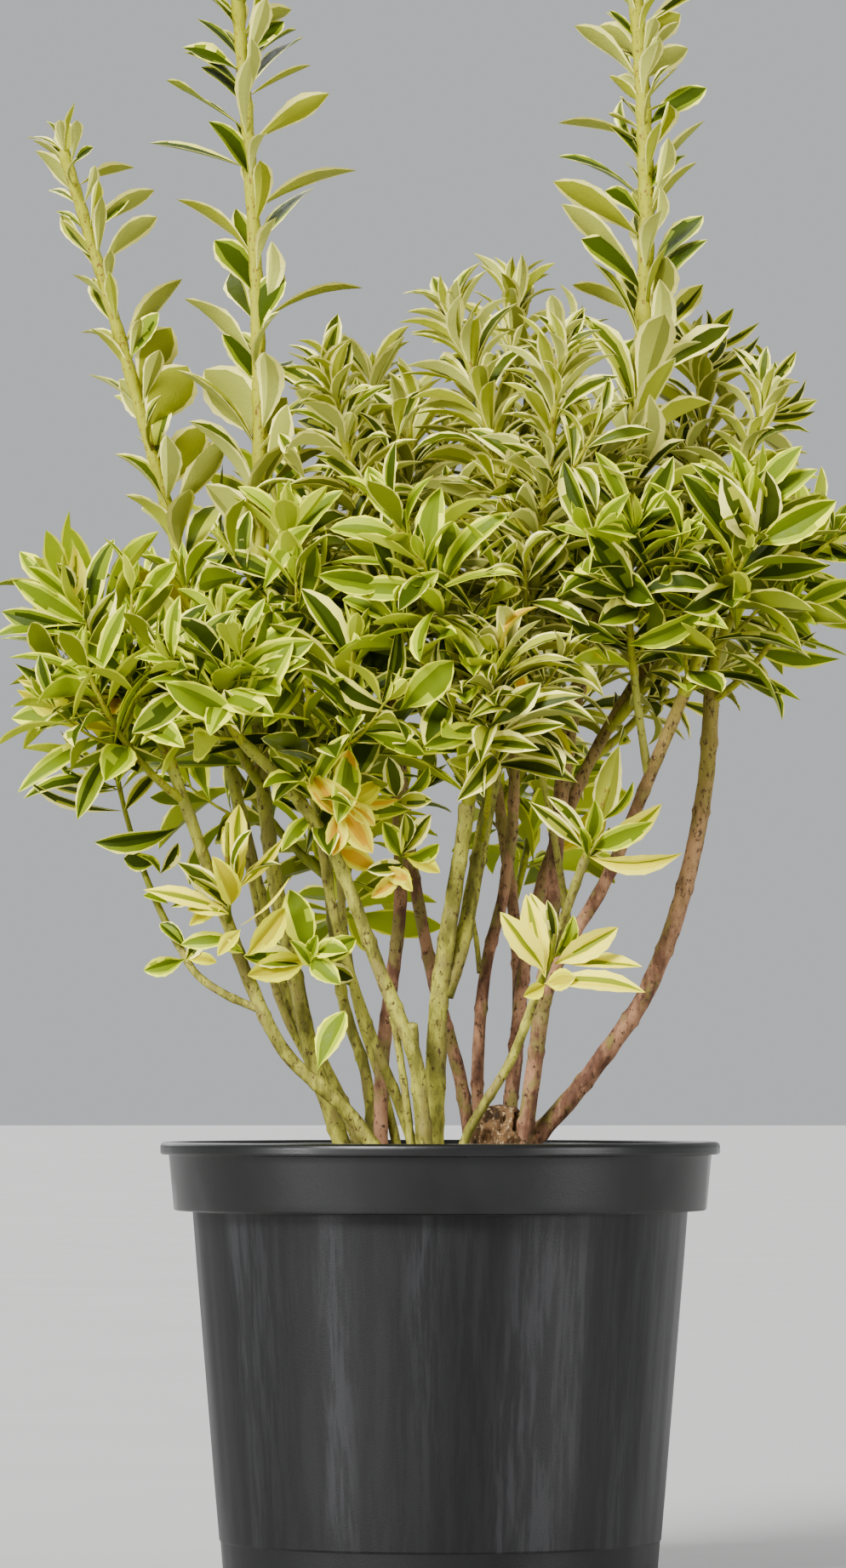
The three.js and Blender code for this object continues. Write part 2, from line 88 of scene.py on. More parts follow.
def turned(vectors: Array, axes: Array, degrees: Array) -> Array:
    """Turns vectors about unit axes.

    Formula: v cos a + (k x v) sin a + k (k . v) (1 - cos a).

    Args:
        vectors: (n, 3) vectors.
        axes: (n, 3) unit axes.
        degrees: (n,) angles.

    Returns:
        The (n, 3) turned vectors.
    """
    angle = np.radians(degrees)[:, None]
    along = axes * (axes * vectors).sum(1, keepdims=True)
    return vectors * np.cos(angle) + np.cross(axes, vectors) * np.sin(angle) + along * (1 - np.cos(angle))


def even_points(points: Array, count: int) -> Array:
    """Spaces points evenly by distance along the line through the given ones.

    Args:
        points: (n, 3) points of the line.
        count: how many points to return.

    Returns:
        (count, 3) points.
    """
    travelled = np.concatenate([[0.0], np.cumsum(np.linalg.norm(np.diff(points, axis=0), axis=1))])
    wanted = np.linspace(0, travelled[-1], count)
    return np.stack([np.interp(wanted, travelled, points[:, i]) for i in range(3)], axis=1)


def length_of(line: Array) -> float:
    """The length of a line through (n, 3) points."""
    return np.linalg.norm(np.diff(line, axis=0), axis=1).sum()


def bend_through(knots: tuple[Point, ...], count: int, steps: int = 40) -> Array:
    """A smooth bend through knots.

    Formula: between knots a cubic whose slope at a knot is half the step from the knot before it to the knot
    after it, and at either end the whole step to its neighbour.

    Args:
        knots: the points that it passes.
        count: how many even points to return.
        steps: points between two knots before that.

    Returns:
        (count, 3) points.
    """
    knot = np.array(knots, float)
    before, after = 2 * knot[0] - knot[1], 2 * knot[-1] - knot[-2]
    padded = np.vstack([before, knot, after])
    slope = 0.5 * (padded[2:] - padded[:-2])
    t = np.linspace(0, 1, steps)[None, :, None]
    a, b, p, q = knot[:-1, None], knot[1:, None], slope[:-1, None], slope[1:, None]
    cubic = (2 * t**3 - 3 * t**2 + 1) * a + (t**3 - 2 * t**2 + t) * p
    cubic = cubic + (3 * t**2 - 2 * t**3) * b + (t**3 - t**2) * q
    return even_points(cubic.reshape(-1, 3), count)


def arc(start: Array, control: Array, end: Array, count: int) -> Array:
    """A curve drawn to a control point: (1-t)^2 start + 2 t (1-t) control + t^2 end, for one row or many.

    Args:
        start: (3,) or (n, 3) first points.
        control: control points of the same shape.
        end: last points of the same shape.
        count: points on each curve.

    Returns:
        (count, 3) or (n, count, 3) points.
    """
    t = np.linspace(0, 1, count)[:, None]
    a, b, c = (point[..., None, :] for point in (start, control, end))
    return (1 - t) ** 2 * a + 2 * t * (1 - t) * b + t**2 * c


def place_on(path: Array, shares: Array) -> tuple[Array, Array]:
    """Where shares of the way along an evenly spaced path are.

    Args:
        path: (n, 3) points.
        shares: (m,) shares from 0 to 1.

    Returns:
        (m, 3) places and (m, 3) unit headings.
    """
    where = np.clip(shares, 0, 1) * (len(path) - 1)
    low = np.minimum(where.astype(int), len(path) - 2)
    part = (where - low)[:, None]
    return mix(path[low], path[low + 1], part), unit(path[low + 1] - path[low])


def rough(dice: Dice, rings: int, sides: int, passes: int = 2) -> Array:
    """Smoothed random relief on a ring by side grid, wrapped round the sides.

    Formula: normal noise, averaged with its neighbours in both directions a few times, then scaled to a
    spread of 1.

    Args:
        dice: the random stream.
        rings: grid rows.
        sides: grid columns.
        passes: how often it is averaged.

    Returns:
        (rings, sides) relief.
    """
    grid = dice.normal(size=(rings, sides))
    for _ in range(passes):
        grid = (grid + np.roll(grid, 1, 1) + np.roll(grid, -1, 1)) / 3
        grid = (grid + np.roll(grid, 1, 0) + np.roll(grid, -1, 0)) / 3
    return grid / max(grid.std(), 1e-9)


def spun(radius: Array, height: Array, angle: Array) -> Array:
    """Points (r cos a, r sin a, z) round the vertical axis.

    Args:
        radius: (rings, sides) distances from the axis.
        height: heights that spread over the same grid.
        angle: (sides,) angles.

    Returns:
        (rings, sides, 3) points.
    """
    level = np.broadcast_to(height, radius.shape)
    return np.stack([radius * np.cos(angle), radius * np.sin(angle), level], -1)


def round_angles(count: int) -> Array:
    """Evenly spread angles for one turn, from 0, in radians."""
    return np.linspace(0, 2 * np.pi, count, endpoint=False)


# Objects and meshes

def placed(name: str, data: bpy.types.ID) -> Piece:
    """Puts a new object with that mesh, light or camera into the scene."""
    made = bpy.data.objects.new(name, data)
    bpy.context.scene.collection.objects.link(made)
    return made


def aimed(name: str, data: bpy.types.ID, place: Point, target: Point) -> Piece:
    """Puts a light or a camera at a place and turns it to a target.

    Args:
        name: its name.
        data: its light or camera.
        place: where it stands, in metres.
        target: what it looks at, in metres.

    Returns:
        The object.
    """
    made = placed(name, data)
    made.location = place
    made.rotation_euler = (Vector(target) - Vector(place)).to_track_quat("-Z", "Y").to_euler()
    return made


@dataclass
class Bundle:
    """Points and faces gathered from many shapes, in millimetres, to become one mesh."""

    points: list[Array] = field(default_factory=list)
    corners: list[Array] = field(default_factory=list)
    sizes: list[Array] = field(default_factory=list)
    tones: list[Array] = field(default_factory=list)
    count: int = 0

    def add(self, points: Array, faces: list[tuple[Array, Array | int]]) -> None:
        """Adds copies of a shape that share their faces.

        Args:
            points: (copies, v, 3) points.
            faces: groups of (f, k) point numbers, each with one tone or (copies, f) tones.
        """
        copies, each = points.shape[:2]
        first = self.count + each * np.arange(copies)[:, None, None]
        for shape, tone in faces:
            shape = np.asarray(shape)
            self.corners.append((shape[None] + first).ravel())
            self.sizes.append(np.full(copies * len(shape), shape.shape[1]))
            self.tones.append(np.broadcast_to(tone, (copies, len(shape))).ravel())
        self.points.append(points.reshape(-1, 3))
        self.count += copies * each

    def add_skin(self, grid: Array, poles: Array, tone: Array | int = 0) -> None:
        """Adds one closed skin.

        Args:
            grid: (rings, sides, 3) points.
            poles: (2, 3) points, below the first ring and above the last.
            tone: the material of the quads between the rings, one or one each.
        """
        (quads, _), ends = skin_faces(*grid.shape[:2])
        self.add(np.concatenate([grid.reshape(-1, 3), poles])[None], [(quads, tone), ends])

    def piece(self, name: str, materials: list[Material], crease: float = SMOOTH) -> Piece:
        """Makes the Blender piece, with only the materials that it uses.

        Args:
            name: the piece's name.
            materials: the materials that the tones number.
            crease: the angle past which an edge is sharp.

        Returns:
            The linked object, at the origin.
        """
        tones, sizes = np.concatenate(self.tones), np.concatenate(self.sizes)
        used, tones = np.unique(tones, return_inverse=True)
        starts = np.concatenate([[0], np.cumsum(sizes)[:-1]])
        mesh = bpy.data.meshes.new(name)
        mesh.vertices.add(self.count)
        mesh.vertices.foreach_set("co", (np.concatenate(self.points) * MM).astype(np.float32).ravel())
        mesh.loops.add(int(sizes.sum()))
        mesh.loops.foreach_set("vertex_index", np.concatenate(self.corners).astype(np.int32))
        mesh.polygons.add(len(sizes))
        mesh.polygons.foreach_set("loop_start", starts.astype(np.int32))
        for index in used:
            mesh.materials.append(materials[int(index)])
        mesh.polygons.foreach_set("material_index", tones.astype(np.int32))
        mesh.update(calc_edges=True)
        mesh.validate()
        mesh.shade_smooth()
        if crease < SMOOTH:
            mesh.set_sharp_from_angle(angle=math.radians(crease))
        return placed(name, mesh)


def skin_faces(rings: int, sides: int) -> list[tuple[Array, int]]:
    """Faces of a closed skin: a ring by side grid, then a pole below and one above.

    Args:
        rings: rings of points.
        sides: points in a ring, counter-clockwise seen from the last ring's side.

    Returns:
        Quads and triangles, all facing outwards, with tone 0.
    """
    ring, side = np.meshgrid(np.arange(rings - 1), np.arange(sides), indexing="ij")
    a, b = ring * sides + side, ring * sides + (side + 1) % sides
    quads = np.stack([a, b, b + sides, a + sides], axis=-1).reshape(-1, 4)
    k = np.arange(sides)
    after, last = (k + 1) % sides, (rings - 1) * sides
    low, high = np.full(sides, rings * sides), np.full(sides, rings * sides + 1)
    ends = np.concatenate([np.stack([low, after, k], 1), np.stack([high, last + k, last + after], 1)])
    return [(quads, 0), (ends, 0)]


def limb_points(paths: Array, radii: Array, foot_dome: float = 0.05, tip_dome: float = 0.35) -> Array:
    """Round limbs as rings square to their paths.

    Formula: a ring point is the path's point plus radius (cos a u + sin a v), where u and v are square to the
    path and to each other, and u is square to the axis that the limb follows least.

    Args:
        paths: (n, rings, 3) points.
        radii: (n, rings, sides) radii.
        foot_dome: how far the foot's pole stands out.
        tip_dome: how far the tip's pole stands out, as a share of the tip's radius.

    Returns:
        (n, rings x sides + 2, 3) points with a pole at each end.
    """
    heading = unit(np.gradient(paths, axis=1))
    least = np.abs(paths[:, -1] - paths[:, 0]).argmin(axis=1)
    u = unit(np.cross(AXES[least][:, None, :], heading))
    v = np.cross(heading, u)
    angle = round_angles(radii.shape[2])[:, None]
    spokes = np.cos(angle) * u[:, :, None] + np.sin(angle) * v[:, :, None]
    rings = paths[:, :, None] + radii[..., None] * spokes
    low = paths[:, 0] - heading[:, 0] * foot_dome
    high = paths[:, -1] + heading[:, -1] * radii[:, -1].mean(1)[:, None] * tip_dome
    return np.concatenate([rings.reshape(len(paths), -1, 3), np.stack([low, high], 1)], axis=1)


# Finishes

# Where a mix node set to colours has its factor, its two colours and its result
COLOUR_MIX_INPUTS = (0, 6, 7)
COLOUR_MIX_OUTPUT = 2


class Recipe:
    """A node material while it is being put together."""

    def __init__(self, name: str) -> None:
        """Starts a material of that name with a plain shader.

        Args:
            name: the material's name.
        """
        self.material = bpy.data.materials.new(name)
        self.material.use_nodes = True
        self.tree = self.material.node_tree
        self.shader = self.tree.nodes["Principled BSDF"]
        self.place = self.tree.nodes.new("ShaderNodeTexCoord").outputs["Object"]

    def add(self, kind: str, **values: object) -> bpy.types.Node:
        """Adds a node and sets or links its inputs and settings by name.

        Args:
            kind: the node's type.
            **values: inputs, with _ for a space, or settings; a socket is linked.

        Returns:
            The node.
        """
        made = self.tree.nodes.new(kind)
        for key, value in values.items():
            name = key.replace("_", " ")
            if name in made.inputs:
                self.feed(value, made.inputs[name])
            else:
                setattr(made, key, value)
        return made

    def feed(self, value: object, socket: Socket) -> None:
        """Links another socket to an input, or sets the input to a plain value."""
        if isinstance(value, Socket):
            self.tree.links.new(value, socket)
        else:
            socket.default_value = value

    def height(self) -> Socket:
        """The height above the ground, in metres."""
        return self.add("ShaderNodeSeparateXYZ", Vector=self.place).outputs[2]

    def noise(self, scale: float, stretch: Point = (1, 1, 1), detail: float = 4, fine: float = 0.6) -> Socket:
        """A noise pattern fixed to the piece.

        Args:
            scale: patches per metre.
            stretch: how the pattern is scaled along each axis.
            detail: octaves.
            fine: weight of the fine octaves.

        Returns:
            The pattern's value socket.
        """
        moved = self.add("ShaderNodeMapping", Vector=self.place, Scale=stretch)
        settings = {"Scale": scale, "Detail": detail, "Roughness": fine}
        return self.add("ShaderNodeTexNoise", Vector=moved.outputs[0], **settings).outputs[0]

    def ramp(self, value: Socket, low: float, high: float, to: Span = (0, 1)) -> Socket:
        """Spreads a value's part between low and high over another range, softly at both ends.

        Args:
            value: the socket to spread.
            low: where the new range starts.
            high: where it ends.
            to: the new range.

        Returns:
            The spread value's socket.
        """
        made = self.add("ShaderNodeMapRange", interpolation_type="SMOOTHSTEP", Value=value)
        for name, number in zip(("From Min", "From Max", "To Min", "To Max"), (low, high, *to)):
            made.inputs[name].default_value = number
        return made.outputs[0]

    def blend(self, share: Socket, a: object, b: object) -> Socket:
        """Blends two colours, each a colour or a socket.

        Args:
            share: how much of b shows.
            a: the first colour.
            b: the second colour.

        Returns:
            The blended colour's socket.
        """
        made = self.tree.nodes.new("ShaderNodeMix")
        made.data_type = "RGBA"
        for value, place in zip((share, a, b), COLOUR_MIX_INPUTS):
            self.feed(value, made.inputs[place])
        return made.outputs[COLOUR_MIX_OUTPUT]

    def finish(self, colour: object, gloss: object, **constants: float) -> Material:
        """Joins a colour and a roughness to the shader, each a value or a socket.

        Args:
            colour: the base colour.
            gloss: the roughness.
            **constants: other shader inputs by name, with _ for a space.

        Returns:
            The material.
        """
        for key, value in {"Base_Color": colour, "Roughness": gloss, **constants}.items():
            self.feed(value, self.shader.inputs[key.replace("_", " ")])
        return self.material

    def bump(self, height: Socket, distance: float, strength: float = 1.0) -> None:
        """Raises the surface by a pattern.

        Args:
            height: the pattern's socket.
            distance: the height of 1, in metres.
            strength: how much of it shows.
        """
        made = self.add("ShaderNodeBump", Height=height, Distance=distance, Strength=strength)
        self.tree.links.new(made.outputs[0], self.shader.inputs["Normal"])


def paint(red: int, green: int, blue: int) -> tuple[float, float, float, float]:
    """A screen colour from 0 to 255 as the shader's linear colour, by the sRGB curve."""
    share = np.array([red, green, blue]) / 255
    linear = np.where(share <= 0.04045, share / 12.92, ((share + 0.055) / 1.055) ** 2.4)
    return (*(float(c) for c in linear), 1.0)


@dataclass(frozen=True)
class LeafColours:
    """Screen colours of one colouring of leaf, from its margin inwards, and of its underside, and the least
    and the most of the half width at which its margin starts."""

    margin: Colour
    feather: Colour
    centre: Colour
    under: Colour
    margin_from: Span

    def materials(self, name: str) -> list[Material]:
        """Four leathery materials, each of one colour with a fine grain and uneven gloss.

        Args:
            name: the colouring's name.

        Returns:
            Margin, feather, centre and underside.
        """
        made = []
        for part in ("margin", "feather", "centre", "under"):
            recipe = Recipe(f"leaf_{name}_{part}")
            dullest = 0.7 if part == "under" else 0.58
            gloss = recipe.ramp(recipe.noise(260), 0.3, 0.7, (dullest - 0.2, dullest))
            recipe.bump(recipe.noise(900, detail=2), 0.0004, 0.35)
            made.append(recipe.finish(paint(*getattr(self, part)), gloss, Specular_IOR_Level=0.08))
        return made


class Mood(Enum):
    """The colourings that are dealt out spray by spray."""

    OLIVE = LeafColours((250, 244, 132), (160, 166, 40), (70, 82, 8), (178, 182, 84), (0.62, 0.88))
    LIME = LeafColours((232, 236, 48), (156, 174, 16), (96, 114, 6), (168, 178, 34), (0.74, 0.93))
    DEEP = LeafColours((244, 240, 104), (110, 126, 16), (52, 66, 4), (124, 134, 28), (0.78, 0.94))
    SAGE = LeafColours((250, 242, 132), (144, 148, 32), (54, 64, 4), (152, 156, 62), (0.64, 0.89))
    CREAM = LeafColours((248, 236, 70), (232, 216, 16), (124, 134, 8), (226, 210, 30), (0.3, 0.62))
    GOLD = LeafColours((224, 220, 10), (198, 192, 0), (174, 162, 0), (192, 188, 0), (0.5, 0.8))
    PEACH = LeafColours((232, 222, 50), (216, 194, 12), (204, 154, 6), (208, 186, 24), (0.6, 0.85))


MOODS = list(Mood)
OLIVE, LIME, DEEP, SAGE, CREAM, GOLD, PEACH = MOODS


@dataclass(frozen=True)
class BarkFinish:
    """Mottled bark whose colour changes with height.

    It has the screen colours of its pale and dark patches, its flecks, the bark higher up and its stains, the
    heights in millimetres between which it changes, its least roughness, how far that height wanders, in
    metres, and how much duller it is in places.
    """

    pale: Colour
    dark: Colour
    fleck: Colour
    higher: Colour
    change: Span
    stain: Colour
    gloss: float = 0.62
    wander: float = 0.16
    dulling: float = 0.22

    def material(self, name: str) -> Material:
        """The bark as a node material.

        Args:
            name: the material's name.

        Returns:
            The material.
        """
        recipe = Recipe(name)
        patches = recipe.ramp(recipe.noise(150, (1, 1, 0.35), 5), 0.38, 0.62)
        flecks = recipe.ramp(recipe.noise(520, (1, 1, 0.6), 4, 0.75), 0.54, 0.64)
        wandered = recipe.add("ShaderNodeMath", operation="MULTIPLY_ADD")
        for value, socket in zip((recipe.noise(26, detail=2), self.wander, recipe.height()), wandered.inputs):
            recipe.feed(value, socket)
        young = recipe.ramp(wandered.outputs[0], *(height * MM + self.wander / 2 for height in self.change))
        stains = recipe.ramp(recipe.noise(75, (1, 1, 0.6), 3), 0.5, 0.62)
        mottled = recipe.blend(patches, paint(*self.pale), paint(*self.dark))
        ground = recipe.blend(stains, mottled, paint(*self.stain))
        grown = recipe.blend(young, ground, paint(*self.higher))
        colour = recipe.blend(flecks, grown, paint(*self.fleck))
        grain = recipe.noise(420, (1, 1, 0.22), 6, 0.65)
        recipe.bump(grain, 0.0012, 0.6)
        gloss = recipe.ramp(grain, 0.3, 0.7, (self.gloss, self.gloss + self.dulling))
        return recipe.finish(colour, gloss, Specular_IOR_Level=0.3)


GREEN_BARK = BarkFinish(
    (166, 162, 58), (98, 94, 24), (72, 54, 20), (152, 156, 48), (270, 400), (128, 118, 52)
)
BROWN_BARK = BarkFinish(
    (158, 116, 84), (88, 56, 38), (62, 40, 24), (138, 124, 46), (250, 400), (122, 108, 54), 0.72
)
CROWN_BARK = BarkFinish(
    (122, 90, 56), (46, 32, 18), (178, 152, 112), (112, 86, 54), (200, 300), (84, 52, 30), 0.88
)
YOUNG_BARK = BarkFinish(
    (130, 136, 0), (84, 92, 0), (112, 84, 20), (156, 156, 16), (240, 400), (98, 102, 8), 0.5
)


# The pot and what fills it

@dataclass
class Pot:
    """The black nursery pot, a round container of about five litres.

    Flutes have their depth, how many go round and where they start, in radians.
    """

    height: float = 178
    lip_radius: float = 112.5
    lip_height: float = 5
    collar_top: float = 109.1
    collar_foot: float = 107
    collar_height: float = 27.5
    wall_top: float = 99.5
    base_radius: float = 87.2
    foot_height: float = 18
    foot_inset: float = 0.5
    foot_step: float = 0.7
    wall: float = 1.8
    floor: float = 2.4
    hub: float = 8
    sides: int = 192
    round_points: int = 7
    run_points: int = 8
    crease: float = 32
    flutes: tuple[Point, ...] = ((0.09, 46, 0), (0.07, 29, 1.3), (0.05, 71, 0.4))
    drain_count: int = 8
    drain_radius: float = 6
    drain_inset: float = 2
    drill_reach: float = 12
    drill_sides: int = 28

    def profile(self) -> Array:
        """The wall's section, from the underside over the lip to the floor.

        Formula: a curve rounds each corner between points as far from it as its third number says.

        Returns:
            (n, 2) radius and height.
        """
        low = self.height - self.collar_height
        slope = (self.wall_top - self.base_radius) / low
        foot = self.base_radius + slope * self.foot_height
        inside = self.collar_top - self.wall
        corners = (
            (self.hub, 0, 2),
            (self.base_radius - self.foot_inset, 0, 1.6),
            (foot - self.foot_inset, self.foot_height, 0.3),
            (foot, self.foot_height + self.foot_step, 0.3),
            (self.wall_top, low, 0.9),
            (self.collar_foot, low, 1.1),
            (self.collar_top, self.height - self.lip_height, 0.7),
            (self.lip_radius, self.height - self.lip_height, 1.0),
            (self.lip_radius, self.height, 2.2),
            (inside, self.height, 1.3),
            (self.collar_foot - self.wall, low + self.wall, 0.9),
            (self.wall_top - self.wall, low + self.wall, 0.8),
            (self.base_radius - self.wall, self.floor, 1.5),
            (self.hub, self.floor, 2),
        )
        places, reaches = np.array(corners, float)[:, :2], np.array(corners, float)[:, 2]
        between = np.linspace(0, 1, self.run_points)[1:-1, None]
        rows = []
        for i in range(1, len(corners) - 1):
            before, here, after = places[i - 1 : i + 2]
            start, end = (here + unit(other - here) * reaches[i] for other in (before, after))
            rows.append(arc(start, here, end, self.round_points))
            rows.append(mix(end, after + unit(here - after) * reaches[i + 1], between))
        return np.concatenate(rows)

    def shell(self) -> Bundle:
        """The pot's wall and floor, spun round the vertical axis.

        Formula: a point is (r cos a, r sin a, z) for each section point (r, z). On the drafted wall r swings
        by about a fifth of a millimetre in uneven flutes, as a moulded wall does.

        Returns:
            The closed shell.
        """
        section = self.profile()
        level = section[:, 1]
        low = self.height - self.collar_height
        smooth = (level[:-1] > low - 0.5) & (section[:-1, 0] > self.wall_top)
        angle = round_angles(self.sides)
        flutes = sum(depth * np.cos(count * angle + start) for depth, count, start in self.flutes)
        drafted = (level > self.foot_height + 1) & (level < low - 1)
        radius = section[:, :1] + drafted[:, None] * flutes
        made = Bundle()
        poles = np.outer([0, self.floor], AXES[2])
        made.add_skin(spun(radius, section[:, 1:], angle), poles, np.repeat(smooth * 1, self.sides))
        return made

    def drills(self) -> Bundle:
        """Rods that cut the drain holes, lying outwards across the foot's corner.

        Returns:
            The closed rods.
        """
        angle = (np.arange(self.drain_count) + 0.5) * 2 * np.pi / self.drain_count
        out = np.stack([np.cos(angle), np.sin(angle), np.zeros_like(angle)], axis=1)
        reach = self.base_radius - self.drain_inset + np.array([-self.drill_reach, 0, self.drill_reach])
        paths = out[:, None] * reach[None, :, None] + self.drain_inset * AXES[2]
        radii = np.full((*paths.shape[:2], self.drill_sides), self.drain_radius)
        made = Bundle()
        made.add(limb_points(paths, radii), skin_faces(*radii.shape[1:]))
        return made

    def streaky(self) -> Material:
        """The wall's black moulded plastic, with faint upright streaks, broad upright bands of painted sheen
        and a darker band below the foot's step.

        Returns:
            The material.
        """
        recipe = Recipe("black_moulded_plastic")
        fine = recipe.ramp(recipe.noise(230, (1, 1, 0.003), 4, 0.7), 0.42, 0.6)
        # Broad upright bands: their lighter colour is painted sheen standing in for the lamps' broad
        # reflections on the wall; they are also less rough.
        broad = recipe.ramp(recipe.noise(30, (1, 1, 0.006), 1), 0.42, 0.6)
        # Both streak tones run from darker to lighter across the painted sheen bands.
        dull = recipe.blend(broad, paint(1, 1, 1), paint(15, 15, 16))
        bright = recipe.blend(broad, paint(8, 8, 9), paint(34, 34, 36))
        wall = recipe.blend(fine, dull, bright)
        # Darker below the foot's step.
        above = recipe.ramp(recipe.height(), (self.foot_height - 0.2) * MM, (self.foot_height + 0.6) * MM)
        recipe.bump(recipe.noise(1900, detail=2), 0.0003, 0.25)
        gloss = recipe.ramp(broad, 0, 1, (0.52, 0.4))
        return recipe.finish(recipe.blend(above, paint(5, 5, 6), wall), gloss, Specular_IOR_Level=0.3)

    def smooth(self) -> Material:
        """The collar's and the lip's smoother plastic.

        Returns:
            The material.
        """
        recipe = Recipe("black_smooth_plastic")
        cloudy = recipe.ramp(recipe.noise(26, (1, 1, 0.6), 2), 0.4, 0.62)
        recipe.bump(recipe.noise(1500, detail=2), 0.0003, 0.15)
        colour = recipe.blend(cloudy, paint(1, 1, 1), paint(19, 19, 20))
        return recipe.finish(colour, recipe.ramp(cloudy, 0, 1, (0.36, 0.26)), Specular_IOR_Level=0.4)

    def build(self) -> Piece:
        """Makes the pot, with its drain holes cut.

        Returns:
            The pot's piece.
        """
        pot = self.shell().piece("nursery_pot", [self.streaky(), self.smooth()], self.crease)
        drills = self.drills().piece("drills", [pot.data.materials[0]])
        cut = pot.modifiers.new("drain_holes", "BOOLEAN")
        cut.object, cut.operation, cut.solver = drills, "DIFFERENCE", "EXACT"
        whole = pot.data
        pot.data = bpy.data.meshes.new_from_object(pot.evaluated_get(bpy.context.evaluated_depsgraph_get()))
        pot.modifiers.clear()
        pot.data.name = "nursery_pot"
        bpy.data.objects.remove(drills)
        bpy.data.meshes.remove(whole)
        pot.data.set_sharp_from_angle(angle=math.radians(self.crease))
        return pot


@dataclass
class Compost:
    """Peaty compost that fills the pot to a little below its rim.

    Its side has the radius and height of its foot, and of its neck below and above the pot's collar. A crumb
    is a ball of radius 1, scaled by its size squared, by its shape along three axes and, point by point, by
    its lumps, each between two limits.
    """

    side: tuple[Span, ...] = ((84.8, 2.8), (97.1, 152.4), (104.6, 152.9))
    edge_fall: float = 2.5
    sunk: float = 0.6
    top_radius: float = 104.6
    rings: int = 60
    sides: int = 180
    lumps: Span = (-2.2, 1.2)
    crumbs: int = 1500
    crumb_spread: float = 100
    crumb_lift: float = 0.2
    crumb_lumps: Span = (0.72, 1.28)
    crumb_size: Span = (0.5, 1.5)
    crumb_shape: tuple[Span, ...] = ((0.7, 2.0), (0.6, 1.1), (0.35, 0.8))
    chips: Span = (0.7, 0.3)

    def block(self, dice: Dice) -> Bundle:
        """The body of the compost, with an uneven top.

        Formula: the top's height is the level, less a fall with the fourth power of the radius, plus
        smoothed noise.

        Args:
            dice: the random stream.

        Returns:
            The closed body.
        """
        share = np.linspace(1, 0.02, self.rings)
        side_radius, side_height = np.array(self.side).T
        radius = np.concatenate([side_radius, self.top_radius * share])
        level = SOIL_TOP - self.sunk - self.edge_fall * share**4
        height = np.concatenate([side_height, level])[:, None] + np.zeros(self.sides)
        lumps = rough(dice, self.rings, self.sides, 2) * 0.8 + rough(dice, self.rings, self.sides, 8) * 0.9
        height[len(self.side) :] += np.clip(lumps, *self.lumps) * np.minimum(1, 12 * (1 - share))[:, None]
        radius = radius[:, None] + np.zeros(self.sides)
        made = Bundle()
        poles = np.outer([height[0, 0], height[-1].mean()], AXES[2])
        made.add_skin(spun(radius, height, round_angles(self.sides)), poles)
        return made

    def crumb_points(self, dice: Dice) -> tuple[Array, list[tuple[Array, int]]]:
        """Loose crumbs and bark chips: small lumpy balls, flattened and turned.

        Formula: a ball of three rings of six points and two poles, each point pushed in or out, scaled along
        three axes and turned about a random one.

        Args:
            dice: the random stream.

        Returns:
            (crumbs, 20, 3) points and their faces.
        """
        polar = np.radians([45.0, 90, 135])[:, None]
        round_ball = spun(np.sin(polar) + np.zeros(6), -np.cos(polar), np.radians(np.arange(6) * 60.0))
        ball = np.concatenate([round_ball.reshape(-1, 3), [-AXES[2], AXES[2]]])
        push = dice.uniform(*self.crumb_lumps, (self.crumbs, len(ball), 1))
        size = dice.uniform(*self.crumb_size, (self.crumbs, 1, 1)) ** 2
        flat = [dice.uniform(low, high, self.crumbs) for low, high in self.crumb_shape]
        size = size * np.stack(flat, 1)[:, None]
        axes = unit(dice.normal(size=(self.crumbs, 3)) * [0.35, 0.35, 1])
        each = np.repeat(axes, len(ball), 0)
        degrees = np.repeat(dice.uniform(0, 360, self.crumbs), len(ball))
        lumps = turned((ball * push * size).reshape(-1, 3), each, degrees).reshape(self.crumbs, -1, 3)
        far = self.crumb_spread * np.sqrt(dice.uniform(0, 1, self.crumbs))
        angle = dice.uniform(0, 2 * np.pi, self.crumbs)
        level = SOIL_TOP + self.crumb_lift - self.edge_fall * (far / self.top_radius) ** 4
        middle = np.stack([far * np.cos(angle), far * np.sin(angle), level], 1)
        return lumps + middle[:, None], skin_faces(3, 6)

    def earth(self, name: str, dark: Colour, light: Colour) -> Material:
        """Damp peat, dark with paler fibres.

        Args:
            name: the material's name.
            dark: the peat's screen colour.
            light: the fibres' screen colour.

        Returns:
            The material.
        """
        recipe = Recipe(name)
        fibres = recipe.noise(700, (1, 0.4, 1), 6, 0.75)
        colour = recipe.blend(recipe.ramp(fibres, 0.48, 0.68), paint(*dark), paint(*light))
        recipe.bump(recipe.noise(1300, detail=5), 0.0015, 0.9)
        return recipe.finish(colour, 0.92, Specular_IOR_Level=0.2)

    def build(self) -> Piece:
        """Makes the compost and its crumbs as one piece.

        Returns:
            The compost's piece.
        """
        dice = np.random.default_rng(COMPOST_SEED)
        made = self.block(dice)
        points, faces = self.crumb_points(dice)
        tones = dice.choice([0, 1], self.crumbs, p=self.chips)
        made.add(points, [(shape, np.repeat(tones[:, None], len(shape), 1)) for shape, _ in faces])
        peat = self.earth("damp_peat", (38, 28, 21), (74, 56, 40))
        chips = self.earth("bark_chips", (70, 50, 36), (112, 84, 58))
        return made.piece("compost_fill", [peat, chips])


# The woody limbs

@dataclass(frozen=True)
class Bough:
    """One limb: what it grows from, its knots, its radius at foot and tip, and how its end looks."""

    name: str
    knots: tuple[Point, ...]
    radii: Span
    grows_from: str = ""
    knob: float = 0.0

    def path(self, gap: float) -> Array:
        """Evenly spaced points along the limb, about a gap apart."""
        return bend_through(self.knots, max(8, round(length_of(bend_through(self.knots, 60)) / gap)))


